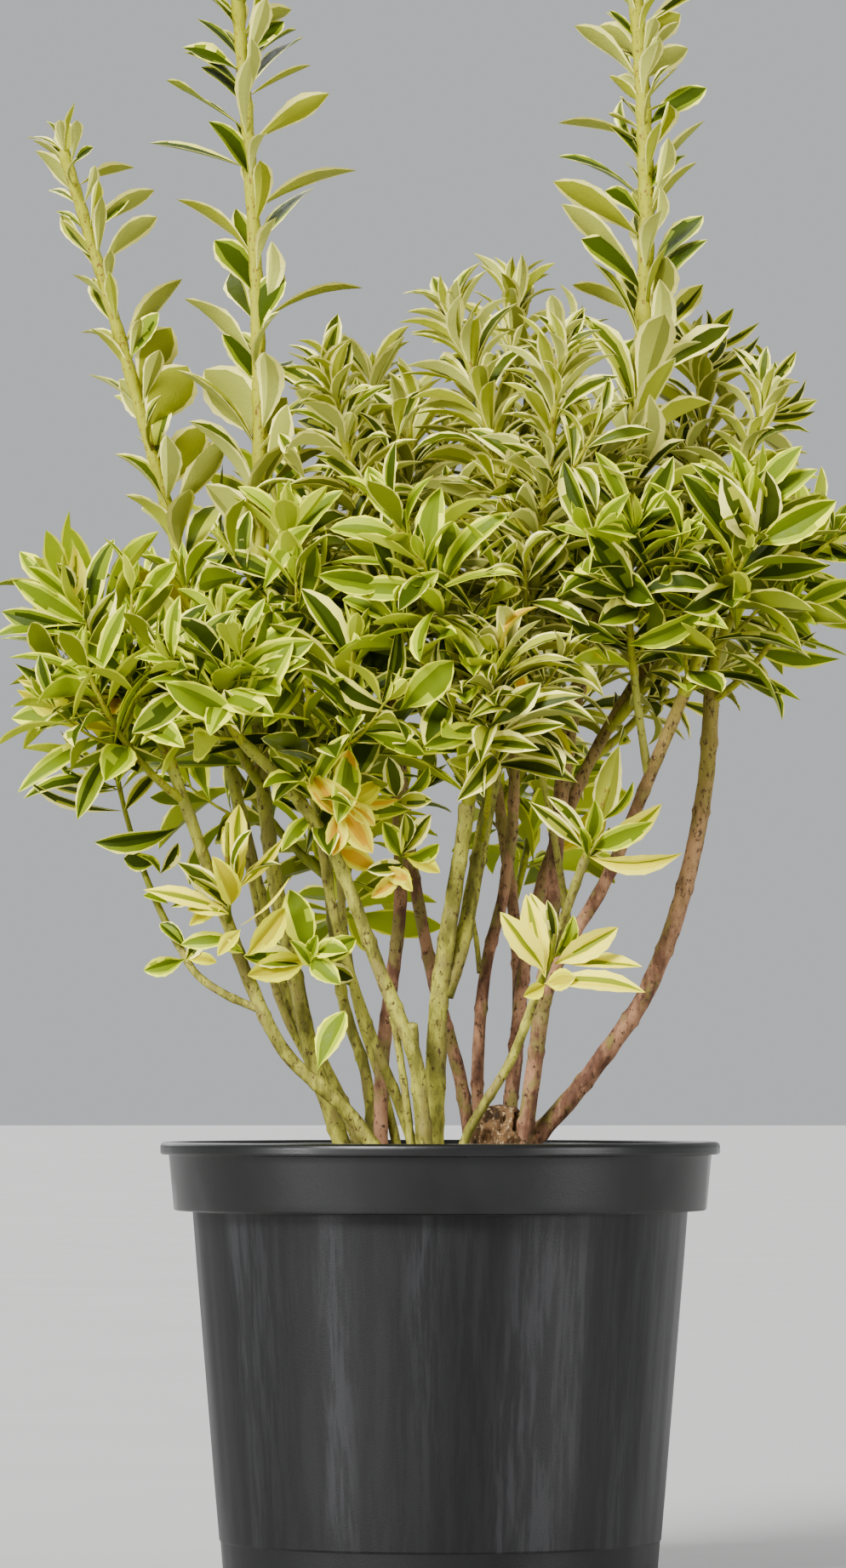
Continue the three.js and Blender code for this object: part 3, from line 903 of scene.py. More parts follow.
BOUGHS = (
    Bough("bough_left_edge", (
        (-16, -33, 160), (-36, -35, 189), (-61, -38, 213), (-75, -42, 240), (-85, -46, 267), (-106, -52, 326)
    ), (2.9, 2.3)),
    Bough("bough_left_low", (
        (-70, -41, 230), (-86, -40, 237), (-97, -38, 245), (-104, -36, 256)
    ), (1.7, 1.5), "bough_left_edge"),
    Bough("bough_tall_left", (
        (-33, -9, 160), (-49, -12, 205), (-58, -12, 243), (-69, -8, 300), (-75, -2, 372)
    ), (3.3, 2.8)),
    Bough("bough_far_left", (
        (-24, 11, 160), (-39, 14, 192), (-53, 18, 220), (-66, 21, 250), (-97, 22, 380)
    ), (2.8, 2.3)),
    Bough("bough_mid_left", (
        (-24, -6, 160), (-23, -7, 213), (-16, -10, 274), (-18, -12, 330), (-23, -12, 374)
    ), (2.9, 2.5)),
    Bough("bough_inner_left", (
        (-6, -16, 160), (-16, -21, 192), (-29, -26, 225), (-42, -30, 267), (-52, -31, 326)
    ), (2.2, 1.9)),
    Bough("bough_left_front", (
        (-5, -43, 160), (-8, -45, 196), (-11, -46, 214), (-24, -47, 246), (-42, -53, 292), (-60, -59, 318),
        (-78, -63, 336)
    ), (3.2, 2.1)),
    Bough("bough_centre", (
        (-4, -28, 160), (-2, -29, 205), (0, -31, 240), (6, -36, 280), (11, -41, 312)
    ), (4.7, 2.9), knob=0.35),
    Bough("bough_centre_right", (
        (2, -30, 236), (9, -28, 259), (17, -25, 301), (26, -23, 348)
    ), (3.3, 2.8), "bough_centre"),
    Bough("bough_right_front", (
        (5, -50, 160), (11, -50, 182), (28, -53, 211), (39, -57, 240), (57, -62, 290)
    ), (1.8, 1.8)),
    Bough("bough_centre_back", (
        (18, 4, 174), (15, 6, 200), (18, 13, 245), (26, 18, 280), (30, 21, 320), (28, 23, 384)
    ), (2.5, 2.1), "root_crown"),
    Bough("bough_back_left_inner", (
        (13, 12, 172), (8, 16, 204), (-4, 24, 250), (-14, 34, 310), (-19, 39, 376)
    ), (2.7, 2.2), "root_crown"),
    Bough("bough_tall_right", (
        (33, -3, 174), (37, -4, 203), (43, -6, 250), (48, -1, 310), (55, 3, 358), (68, 5, 400)
    ), (3.2, 2.9), "root_crown"),
    Bough("bough_right_mid", (
        (40, -5, 228), (48, -14, 252), (66, -21, 282), (82, -26, 320), (97, -29, 356)
    ), (2.8, 2.5), "bough_tall_right"),
    Bough("bough_right_inner", (
        (83, -26, 324), (80, -29, 344), (77, -32, 366)
    ), (1.7, 1.5), "bough_right_mid"),
    Bough("bough_far_right", (
        (32, 8, 173), (53, 7, 196), (70, 6, 218), (84, 5, 240), (98, 4, 278), (107, 5, 322), (110, 6, 364)
    ), (3.6, 3.1), "root_crown"),
    Bough("bough_right_back", (
        (27, 11, 174), (31, 15, 220), (38, 26, 270), (58, 38, 326), (91, 44, 384)
    ), (2.9, 2.4), "root_crown"),
    Bough("bough_back", (
        (24, 15, 172), (31, 28, 212), (31, 46, 262), (20, 72, 350)
    ), (2.8, 2.3), "root_crown"),
    Bough("bough_back_left", ((-25, 21, 160), (-30, 28, 204), (-41, 41, 244), (-51, 64, 340)), (2.5, 2.1)),
)
THIN_STEMS = (
    Bough("thin_stem_left", ((-10, -38, 160), (-13, -39, 190), (-16, -40, 212), (-19, -43, 228)), (1.7, 1.4)),
    Bough("thin_stem_inner", (
        (-14, 2, 160), (-22, -4, 196), (-34, -8, 236), (-40, -14, 282), (-38, -20, 330)
    ), (1.8, 1.4)),
    Bough("thin_stem_middle", ((16, 8, 246), (15, 5, 256), (13, 2, 270)), (1.2, 0.8), "bough_centre_back"),
    Bough("thin_stem_right", (
        (52, -9, 262), (47, -18, 292), (42, -28, 318), (33, -36, 350)
    ), (1.5, 1.1), "bough_right_mid"),
    Bough("thin_stem_left_back", ((-30, 18, 160), (-48, 20, 200), (-66, 14, 238), (-78, 4, 292)), (1.8, 1.4)),
)
SPUR = Bough("spur", ((-10.5, -46, 211), (-11.5, -46, 225)), (2.6, 2.0), "bough_left_front", 0.3)
BROWN_BOUGHS = (
    "bough_mid_left", "bough_centre_back", "bough_tall_right", "bough_right_mid", "bough_far_right",
    "bough_right_back", "bough_back", "bough_back_left_inner",
)


@dataclass
class Limbs:
    """The root crown and the boughs, with the relief of their bark.

    A joint's swelling and scar, the ridges and the grain are shares of the limb's radius, and the first joint
    stands joint_first of a gap up the limb. The crown's rings have their height above the compost and their
    radius, and its lobes their depth, how many go round, how far they turn with each millimetre of height and
    where they start, in radians.
    """

    sides: int = 18
    ring_gap: float = 1.7
    flare: float = 0.35
    flare_height: float = 10
    sunk: float = 3
    joint_gap: float = 15
    joint_first: float = 0.7
    joint_jitter: float = 3
    joint_swell: float = 0.05
    joint_reach: float = 2.6
    scar: float = 0.2
    scar_reach: float = 1.3
    ridge: float = 0.03
    grain: float = 0.022
    grain_most: float = 0.09
    knob_reach: float = 5
    crown_middle: Span = (24, 4)
    crown_profile: tuple[Span, ...] = (
        (-4, 23), (0, 22.6), (6, 18.5), (15, 15.5), (25, 12.5), (32, 7)
    )
    crown_rings: int = 44
    crown_sides: int = 84
    crown_lobes: tuple[tuple[float, int, float, float], ...] = ((0.07, 6, 0.08, 0), (0.06, 11, 0, 1))
    crown_lumps: Span = (0.11, 0.06)
    crown_share: float = 0.88
    crown_limits: Span = (-0.3, 0.14)

    def bark(self, path: Array, foot: float, tip: float, dice: Dice) -> Array:
        """The limb's radius all over, with swollen joints, leaf scars and grain.

        Formula: the taper times 1 + a bell of swelling at each joint + its two opposite scars, a quarter turn
        from the last joint's, + four ridges along the limb + smoothed noise.

        Args:
            path: (rings, 3) points.
            foot: the radius at the foot.
            tip: the radius at the tip.
            dice: the random stream.

        Returns:
            (rings, sides) radii.
        """
        rings = len(path)
        far = np.linspace(0, 1, rings) * length_of(path)
        first, last = self.joint_gap * self.joint_first, far[-1] - self.joint_jitter
        joints = np.arange(first, last, self.joint_gap)
        joints = joints + dice.uniform(-self.joint_jitter, self.joint_jitter, len(joints))
        away = far[:, None] - joints
        swell = self.joint_swell * np.exp(-((away / self.joint_reach) ** 2)).sum(1)
        angle = round_angles(self.sides)
        first = dice.uniform(0, np.pi)
        lobe = np.cos(angle[:, None] - first - np.pi / 2 * np.arange(len(joints))) ** 2
        scars = self.scar * np.exp(-((away / self.scar_reach) ** 2)) @ (lobe**5).T
        ridges = self.ridge * np.cos(4 * angle + first)
        grain = self.grain * (0.6 * rough(dice, rings, self.sides, 1) + rough(dice, rings, self.sides, 4))
        relief = 1 + swell[:, None] + scars + ridges + np.clip(grain, -self.grain_most, self.grain_most)
        return mix(foot, tip, far / far[-1])[:, None] * relief

    def limb(self, made: Bundle, bough: Bough, dice: Dice) -> None:
        """Adds one bough's skin to a bundle.

        Args:
            made: the bundle.
            bough: the limb.
            dice: the random stream.
        """
        path = bough.path(self.ring_gap)
        radii = self.bark(path, *bough.radii, dice)
        rings = len(path)
        if not bough.grows_from:
            lift = np.maximum(path[:, 2] - SOIL_TOP, 0)
            radii = radii * (1 + self.flare * np.exp(-lift / self.flare_height))[:, None]
            path[0, 2] -= self.sunk
        if bough.knob:
            near = np.exp(-(((rings - 1 - np.arange(rings)) * self.ring_gap / self.knob_reach) ** 2))[:, None]
            radii = radii * (1 + near * (bough.knob * 0.5 + 0.1 * rough(dice, rings, self.sides, 2)))
        made.add(limb_points(path[None], radii[None]), skin_faces(rings, self.sides))

    def crown(self) -> Bundle:
        """The knotty root crown from which the brown boughs rise.

        Formula: rings of the crown's radii, pushed in and out by broad lobes and smoothed noise.

        Returns:
            The closed crown.
        """
        dice = np.random.default_rng(CROWN_SEED)
        up, radius = np.array(self.crown_profile).T
        rings, sides = self.crown_rings, self.crown_sides
        height = np.linspace(up[0], up[-1], rings)[:, None]
        angle = round_angles(sides)
        lobes = sum(
            depth * np.cos(count * angle + turn * height + start)
            for depth, count, turn, start in self.crown_lobes
        )
        broad, fine = self.crown_lumps
        lumps = broad * rough(dice, rings, sides, 4) + fine * rough(dice, rings, sides, 1)
        share = self.crown_share + np.clip(lobes + lumps, *self.crown_limits)
        middle = np.array([*self.crown_middle, SOIL_TOP])
        made = Bundle()
        poles = middle + np.outer([up[0], up[-1] + 1], AXES[2])
        made.add_skin(middle + spun(np.interp(height, up, radius) * share, height, angle), poles)
        return made

    def build(self) -> list[Piece]:
        """Makes the crown, the brown boughs and the green boughs.

        Returns:
            The three pieces.
        """
        crown = self.crown().piece("knotted_crown", [CROWN_BARK.material("crown_bark")])
        green, brown = Bundle(), Bundle()
        for i, bough in enumerate(BOUGHS):
            made = brown if bough.name in BROWN_BOUGHS else green
            self.limb(made, bough, np.random.default_rng(BOUGH_SEED + i))
        for i, bough in enumerate((SPUR, *THIN_STEMS)):
            self.limb(green, bough, np.random.default_rng(THIN_STEM_SEED + i))
        return [
            crown,
            brown.piece("brown_limbs", [BROWN_BARK.material("brown_bark")]),
            green.piece("green_limbs", [GREEN_BARK.material("green_bark")]),
        ]


# The leafy shoots

# How far a shoot's foot lies inside the bough whose tip it continues, and where the line of such a shoot and
# that of one from a bough's side bend, as shares of the way to its tip
SHOOT_LAP = 1.5
TIP_SHOOT_BEND = 0.45
SIDE_SHOOT_BEND = np.array([0.62, 0.62, 0.3])


@dataclass(frozen=True)
class Shoot:
    """One leafy shoot: its bough, the share of the bough at which it leaves it, its tip, longest leaf, pairs
    of leaves, side twigs, thickness, colouring, region, first pair's turn if that isn't left to chance, how
    far the middle of its line is pushed to the right, and the share of it from its foot that is bare."""

    name: str
    bough: str
    at: float
    tip: Point
    leaf: float
    pairs: int
    twigs: int
    stem: float
    mood: Mood
    region: str
    turn: float | None = None
    push: float = 0.0
    bare: float = 0.0

    def path(self, boughs: dict[str, Bough]) -> Array:
        """The shoot's line: on from its bough's tip, or out of the bough's side and up.

        Args:
            boughs: the boughs by name.

        Returns:
            Evenly spaced points.
        """
        place, heading = (row[0] for row in place_on(boughs[self.bough].path(2.0), np.array([self.at])))
        end = np.array(self.tip, float)
        if self.at == 1:
            start = place - heading * SHOOT_LAP
            control = place + heading * TIP_SHOOT_BEND * np.linalg.norm(end - place) + 2 * self.push * AXES[0]
        else:
            start = place
            control = start + (end - start) * SIDE_SHOOT_BEND
        return even_points(arc(start, control, end, 60), 80)

    def kind(self) -> "Kind":
        """How it carries its leaves: an olive or sage one like a bottle brush, a green one more loosely."""
        if self.region == "tall":
            return Kind.LONE
        if self.mood is CREAM or "rosette" in self.name:
            return Kind.ROSETTE
        return Kind.BRUSH if self.mood in (OLIVE, SAGE) else Kind.BUSHY


# The shoots by region, left to right, with a shoot's fields in order but for its region
SHOOT_ROWS = {
    "tall": (
        ("shoot_tall_left", "bough_tall_left", 1, (-85, -2, 668), 40, 38, 0, 6.0, OLIVE, 18, 9),
        ("shoot_far_left", "bough_far_left", 1, (-153, 14, 580), 32, 30, 0, 5.4, OLIVE, 22),
        ("shoot_tall_right", "bough_tall_right", 1, (77, 4, 664), 36, 54, 0, 6.8, OLIVE, 18, -5),
    ),
    "left": (
        ("shoot_left_edge", "bough_left_edge", 1, (-146, -56, 394), 46, 8, 2, 4.4, LIME),
        ("shoot_left_low", "bough_left_low", 1, (-130, -34, 330), 38, 3, 0, 3.0, DEEP, 10, 0, 0.82),
        ("shoot_left_front", "bough_left_front", 1, (-84, -80, 362), 46, 5, 1, 3.8, LIME),
        ("shoot_left_inner", "bough_tall_left", 0.76, (-102, -26, 400), 46, 8, 3, 3.8, DEEP),
        ("shoot_left_outer", "bough_left_edge", 0.93, (-138, -78, 362), 44, 4, 0, 3.4, LIME, None, 0, 0.45),
        ("shoot_inner_left", "bough_inner_left", 1, (-60, -54, 420), 46, 8, 2, 4.0, DEEP),
        ("shoot_mid_inner", "bough_inner_left", 0.86, (-34, -66, 372), 46, 6, 2, 3.4, DEEP),
        ("rosette_left", "bough_left_edge", 0.66, (-84, -68, 304), 38, 6, 0, 2.8, CREAM),
        ("rosette_inner", "bough_inner_left", 0.5, (-52, -42, 254), 38, 5, 0, 2.4, LIME, 40),
    ),
    "centre": (
        ("shoot_mid_left", "bough_mid_left", 1, (-44, -24, 482), 42, 10, 2, 4.8, OLIVE),
        ("shoot_upper_inner", "bough_mid_left", 0.9, (-12, 8, 470), 42, 8, 2, 3.8, SAGE),
        ("shoot_centre", "bough_centre_right", 1, (6, -18, 506), 42, 13, 2, 5.0, OLIVE),
        ("shoot_centre_back", "bough_centre_back", 1, (30, 34, 520), 40, 10, 2, 4.4, SAGE),
        ("shoot_centre_right", "bough_centre_right", 0.9, (47, -54, 488), 44, 12, 3, 4.8, OLIVE),
        ("shoot_centre_low", "bough_centre", 1, (-18, -68, 424), 46, 10, 4, 5.0, LIME),
        (
            "shoot_centre_front", "bough_centre_right", 0.55, (24, -68, 368), 44, 6, 1, 3.2, SAGE,
            None, 0, 0.42
        ),
        ("rosette_centre", "bough_mid_left", 0.58, (-16, -34, 308), 36, 5, 0, 2.6, LIME),
    ),
    "right": (
        ("shoot_right_upper", "bough_tall_right", 0.86, (60, -18, 460), 42, 9, 2, 3.8, SAGE),
        ("shoot_right_back", "bough_right_back", 1, (105, 46, 496), 42, 9, 2, 4.4, SAGE),
        ("shoot_right_outer", "bough_right_back", 0.8, (131, 24, 474), 42, 10, 2, 4.2, SAGE),
        ("shoot_right_mid", "bough_right_mid", 1, (121, -50, 430), 46, 8, 2, 4.6, DEEP),
        ("shoot_far_right", "bough_far_right", 1, (148, -4, 422), 42, 7, 2, 4.8, LIME, None, 0, 0.36),
        ("shoot_right_low", "bough_far_right", 0.96, (140, -22, 392), 34, 2, 0, 3.4, LIME, None, 0, 0.7),
        ("shoot_right_inner", "bough_right_inner", 1, (77, -60, 420), 46, 8, 2, 3.2, DEEP),
        ("rosette_right", "bough_right_front", 0.62, (45, -70, 260), 42, 4, 0, 2.6, CREAM, 0),
        ("shoot_right_front", "bough_right_front", 1, (66, -70, 318), 46, 5, 0, 3.0, CREAM),
    ),
    "back": (
        ("shoot_back", "bough_back", 1, (14, 96, 468), 46, 7, 3, 4.4, OLIVE),
        ("shoot_back_left", "bough_back_left", 1, (-70, 92, 452), 46, 6, 3, 4.2, LIME),
        ("shoot_back_inner", "bough_back_left_inner", 1, (-28, 50, 488), 44, 7, 2, 4.0, SAGE),
        ("shoot_back_left_edge", "bough_back_left", 0.7, (-116, 62, 400), 46, 5, 2, 3.6, DEEP),
        ("shoot_back_left_low", "bough_back_left", 0.58, (-28, 112, 374), 46, 5, 2, 3.6, LIME),
        ("shoot_back_right", "bough_back", 0.8, (66, 100, 446), 46, 6, 2, 3.8, OLIVE),
        (
            "shoot_back_right_edge", "bough_right_back", 0.74, (124, 76, 428), 46, 5, 2, 3.6, DEEP,
            None, 0, 0.58
        ),
        ("shoot_back_low", "bough_back", 0.58, (44, 116, 356), 42, 5, 2, 3.4, LIME, None, 0, 0.2),
    ),
}
SHOOTS = tuple(Shoot(*row[:9], region, *row[9:]) for region, table in SHOOT_ROWS.items() for row in table)


@dataclass(frozen=True)
class Habit:
    """How one kind of shoot carries its leaves.

    Leans are angles from the shoot, roll the most that a leaf turns about itself, jitter the most that its
    lean strays, and arches and folds the least and the most that it bends along and across, all in degrees.
    Closer is how many pairs stand where the shoot's row counts one, and the power crowding sets them closer
    towards the tip. A leaf's width and where it is widest are shares of its length, longer scales its length,
    and tip_length is a tip leaf's share of the longest. Grouping is how far every other pair moves to the one
    below, as a share of the step between them, and foot_wide how many times as wide as the top leaves the
    lowest ones are.
    """

    closer: float
    crowding: float
    foot_lean: float
    tip_lean: float
    longer: float
    slim: float
    widest: float
    roll: float
    arch: Span
    fold: Span
    tip_length: float
    jitter: float
    grouping: float = 0.0
    foot_wide: float = 1.0


class Kind(Enum):
    """The kinds of shoot that the plant has."""

    LONE = Habit(1.0, 1.75, 38, 58, 1.34, 0.19, 0.66, 66, (14, 80), (12, 46), 0.74, 13, 0.42, 1.8)
    BRUSH = Habit(3.7, 1.3, 84, 34, 0.98, 0.21, 0.58, 36, (34, 104), (14, 50), 0.66, 12, 0.0, 1.2)
    BUSHY = Habit(1.7, 1.2, 82, 36, 1.1, 0.285, 0.58, 50, (4, 66), (10, 40), 0.6, 14, 0.0, 1.1)
    ROSETTE = Habit(1.3, 1.3, 78, 30, 1.0, 0.36, 0.6, 38, (0, 56), (6, 28), 0.6, 12)


@dataclass
class Leaves:
    """Places for leaves, one row each: foot, direction, upper face, length, width as a share of the length,
    where it is widest, arch and fold in degrees, share of the way up, number of its mood and of its shoot."""

    foot: Array
    direction: Array
    face: Array
    length: Array
    width: Array
    widest: Array
    arch: Array
    fold: Array
    share: Array
    mood: Array
    shoot: Array

    def kept(self, rows: Array) -> "Leaves":
        """The leaves of the given rows."""
        return Leaves(*(getattr(self, name)[rows] for name in self.__dataclass_fields__))

    @staticmethod
    def joined(sets: list["Leaves"]) -> "Leaves":
        """Several sets of leaves as one."""
        names = Leaves.__dataclass_fields__
        return Leaves(*(np.concatenate([getattr(leaves, name) for leaves in sets]) for name in names))


def seen_directions(lean: Array, tilt: Array) -> tuple[Array, Array]:
    """Directions of leaves as the viewer sees them.

    Formula: with lean a and tilt t a leaf runs along (sin a cos t, -sin t, cos a cos t), and what remains of
    the viewer's direction square to that faces the viewer most.

    Args:
        lean: (n,) angles from upright to the right, in degrees.
        tilt: (n,) angles towards the viewer, in degrees.

    Returns:
        (n, 3) directions, and (n, 3) directions square to them.
    """
    a, t = np.radians(lean), np.radians(tilt)
    direction = np.stack([np.sin(a) * np.cos(t), -np.sin(t), np.cos(a) * np.cos(t)], 1)
    viewer = np.broadcast_to(-AXES[1], direction.shape)
    return direction, unit(viewer - (viewer * direction).sum(1, keepdims=True) * direction)


@dataclass(frozen=True)
class Spray:
    """Leaves that the photo shows one by one, from one spot of a shoot, alone or beside the shoot's own.

    Each leaf has its lean from upright to the right, its length, its tilt towards the viewer, the turn of its
    upper face from the viewer, its width as a share of its length, and its mood.
    """

    shoot: str
    foot: Point
    rows: tuple[tuple[float, float, float, float, float, Mood], ...]
    alone: bool = True
    turn_jitter: float = 30
    tilt_jitter: float = 12
    foot_jitter: Point = (0.6, 0.6, 3.5)
    widest: Span = (0.5, 0.62)
    arch: Span = (10, 84)
    fold: Span = (10, 46)

    def leaves_of(self, shoot: int, dice: Dice) -> Leaves:
        """The spray's leaves, each a little off its row's angles.

        Args:
            shoot: the shoot's number.
            dice: the random stream.

        Returns:
            The leaves' places.
        """
        lean, length, tilt, turn, width = np.array([row[:5] for row in self.rows], float).T
        count = len(lean)
        turn = turn + dice.uniform(-self.turn_jitter, self.turn_jitter, count)
        tilt = tilt + dice.uniform(-self.tilt_jitter, self.tilt_jitter, count)
        direction, square = seen_directions(lean, tilt)
        return Leaves(
            np.array(self.foot) + dice.uniform(-1, 1, (count, 3)) * self.foot_jitter, direction,
            turned(square, direction, turn), length, width, dice.uniform(*self.widest, count),
            dice.uniform(*self.arch, count), dice.uniform(*self.fold, count), np.full(count, 0.5),
            np.array([MOODS.index(row[5]) for row in self.rows]), np.full(count, shoot)
        )


# The sprays of the shoots that have no leaves of their own: each spray's foot and its leaves
LONE_SPRAYS = {
    "rosette_left": (
        ((-83, -60, 271), (
            (-75, 39, 8, 40, 0.2, CREAM), (-48, 31, 12, 24, 0.27, SAGE), (-20, 29, 34, 10, 0.34, GOLD),
            (-122, 21, 20, 40, 0.28, GOLD), (-60, 26, 34, -40, 0.26, OLIVE),
            (-84, 20, 40, 20, 0.36, CREAM),
        )),
        ((-80, -58, 279), (
            (2, 30, 14, 8, 0.36, CREAM), (-14, 30, -12, 30, 0.3, GOLD), (18, 27, 26, -30, 0.3, OLIVE),
            (42, 29, 6, 60, 0.2, CREAM), (60, 22, 20, -50, 0.24, SAGE),
        )),
        ((-79, -57, 261), (
            (46, 29, 2, 68, 0.16, CREAM), (-96, 24, 12, 30, 0.3, LIME), (-140, 16, 20, 10, 0.4, GOLD),
        )),
        ((-77, -56, 252), ((38, 26, 8, 4, 0.4, GOLD), (-60, 12, 30, 10, 0.4, LIME))),
    ),
    "rosette_inner": (
        ((-52, -44, 250), (
            (-16, 29, 12, 10, 0.44, LIME), (62, 22, 10, 20, 0.42, LIME), (88, 19, 30, -10, 0.5, LIME),
            (130, 19, 30, 10, 0.5, LIME), (-82, 27, 10, 20, 0.36, DEEP), (-106, 26, 25, 0, 0.44, GOLD),
            (20, 14, 50, 30, 0.4, LIME), (112, 22, -20, 10, 0.36, SAGE), (-38, 17, 45, 20, 0.42, LIME),
        )),
        ((-49, -46, 207), ((25, 27, 0, 4, 0.46, LIME),)),
    ),
    "rosette_centre": (
        ((-15, -44, 290), (
            (-100, 17, 25, 20, 0.4, SAGE), (-28, 19, 20, 0, 0.44, LIME), (36, 20, 10, 10, 0.4, SAGE),
            (72, 18, 30, 30, 0.42, LIME), (118, 17, 20, 0, 0.42, GOLD), (-132, 18, 20, 10, 0.4, PEACH),
            (4, 20, 40, 20, 0.4, OLIVE), (160, 14, 30, 10, 0.44, GOLD),
        )),
        ((-40, -58, 314), (
            (-146, 22, 10, 20, 0.5, PEACH), (-174, 25, 14, -20, 0.44, PEACH),
            (148, 26, 10, 20, 0.44, PEACH), (124, 28, 14, 10, 0.4, PEACH), (12, 22, 10, 20, 0.44, PEACH),
            (62, 20, 10, 10, 0.44, GOLD),
        )),
        ((-24, -46, 284), ((-64, 20, 10, 20, 0.44, PEACH), (112, 15, 20, 10, 0.5, PEACH))),
        ((-17, -46, 312), (
            (-62, 18, 20, 20, 0.42, LIME), (-12, 20, 25, 10, 0.42, OLIVE), (44, 19, 15, 40, 0.4, LIME),
            (88, 16, 30, 10, 0.44, SAGE), (-96, 17, 25, -20, 0.42, PEACH),
        )),
    ),
    "rosette_right": (
        ((41, -66, 243), (
            (-37, 31, 8, 24, 0.34, CREAM), (-13, 34, 6, 6, 0.31, CREAM), (95, 42, 14, -20, 0.27, CREAM),
            (78, 15, 24, 0, 0.6, GOLD), (-118, 11, 20, 10, 0.6, GOLD),
        )),
        ((45, -62, 249), (
            (-18, 31, -8, 14, 0.3, CREAM), (-6, 24, 8, 50, 0.3, SAGE), (60, 31, 8, -10, 0.35, CREAM),
            (24, 20, 30, 20, 0.4, LIME), (93, 35, 10, -16, 0.3, CREAM),
        )),
    ),
    "shoot_right_front": (
        ((58, -64, 294), (
            (-50, 31, 6, 30, 0.22, SAGE), (-40, 26, -10, 12, 0.3, OLIVE), (57, 37, 10, 18, 0.3, CREAM),
            (68, 33, 20, 24, 0.28, LIME), (88, 40, 12, 50, 0.22, CREAM), (8, 20, 30, 0, 0.44, LIME),
            (-18, 15, 40, 30, 0.4, LIME), (34, 18, 35, 10, 0.4, SAGE),
        )),
        ((63, -60, 306), ((13, 36, -6, 176, 0.3, SAGE), (40, 22, 10, 60, 0.28, LIME))),
        ((67, -42, 275), ((124, 28, 0, 24, 0.26, LIME),)),
    ),
}
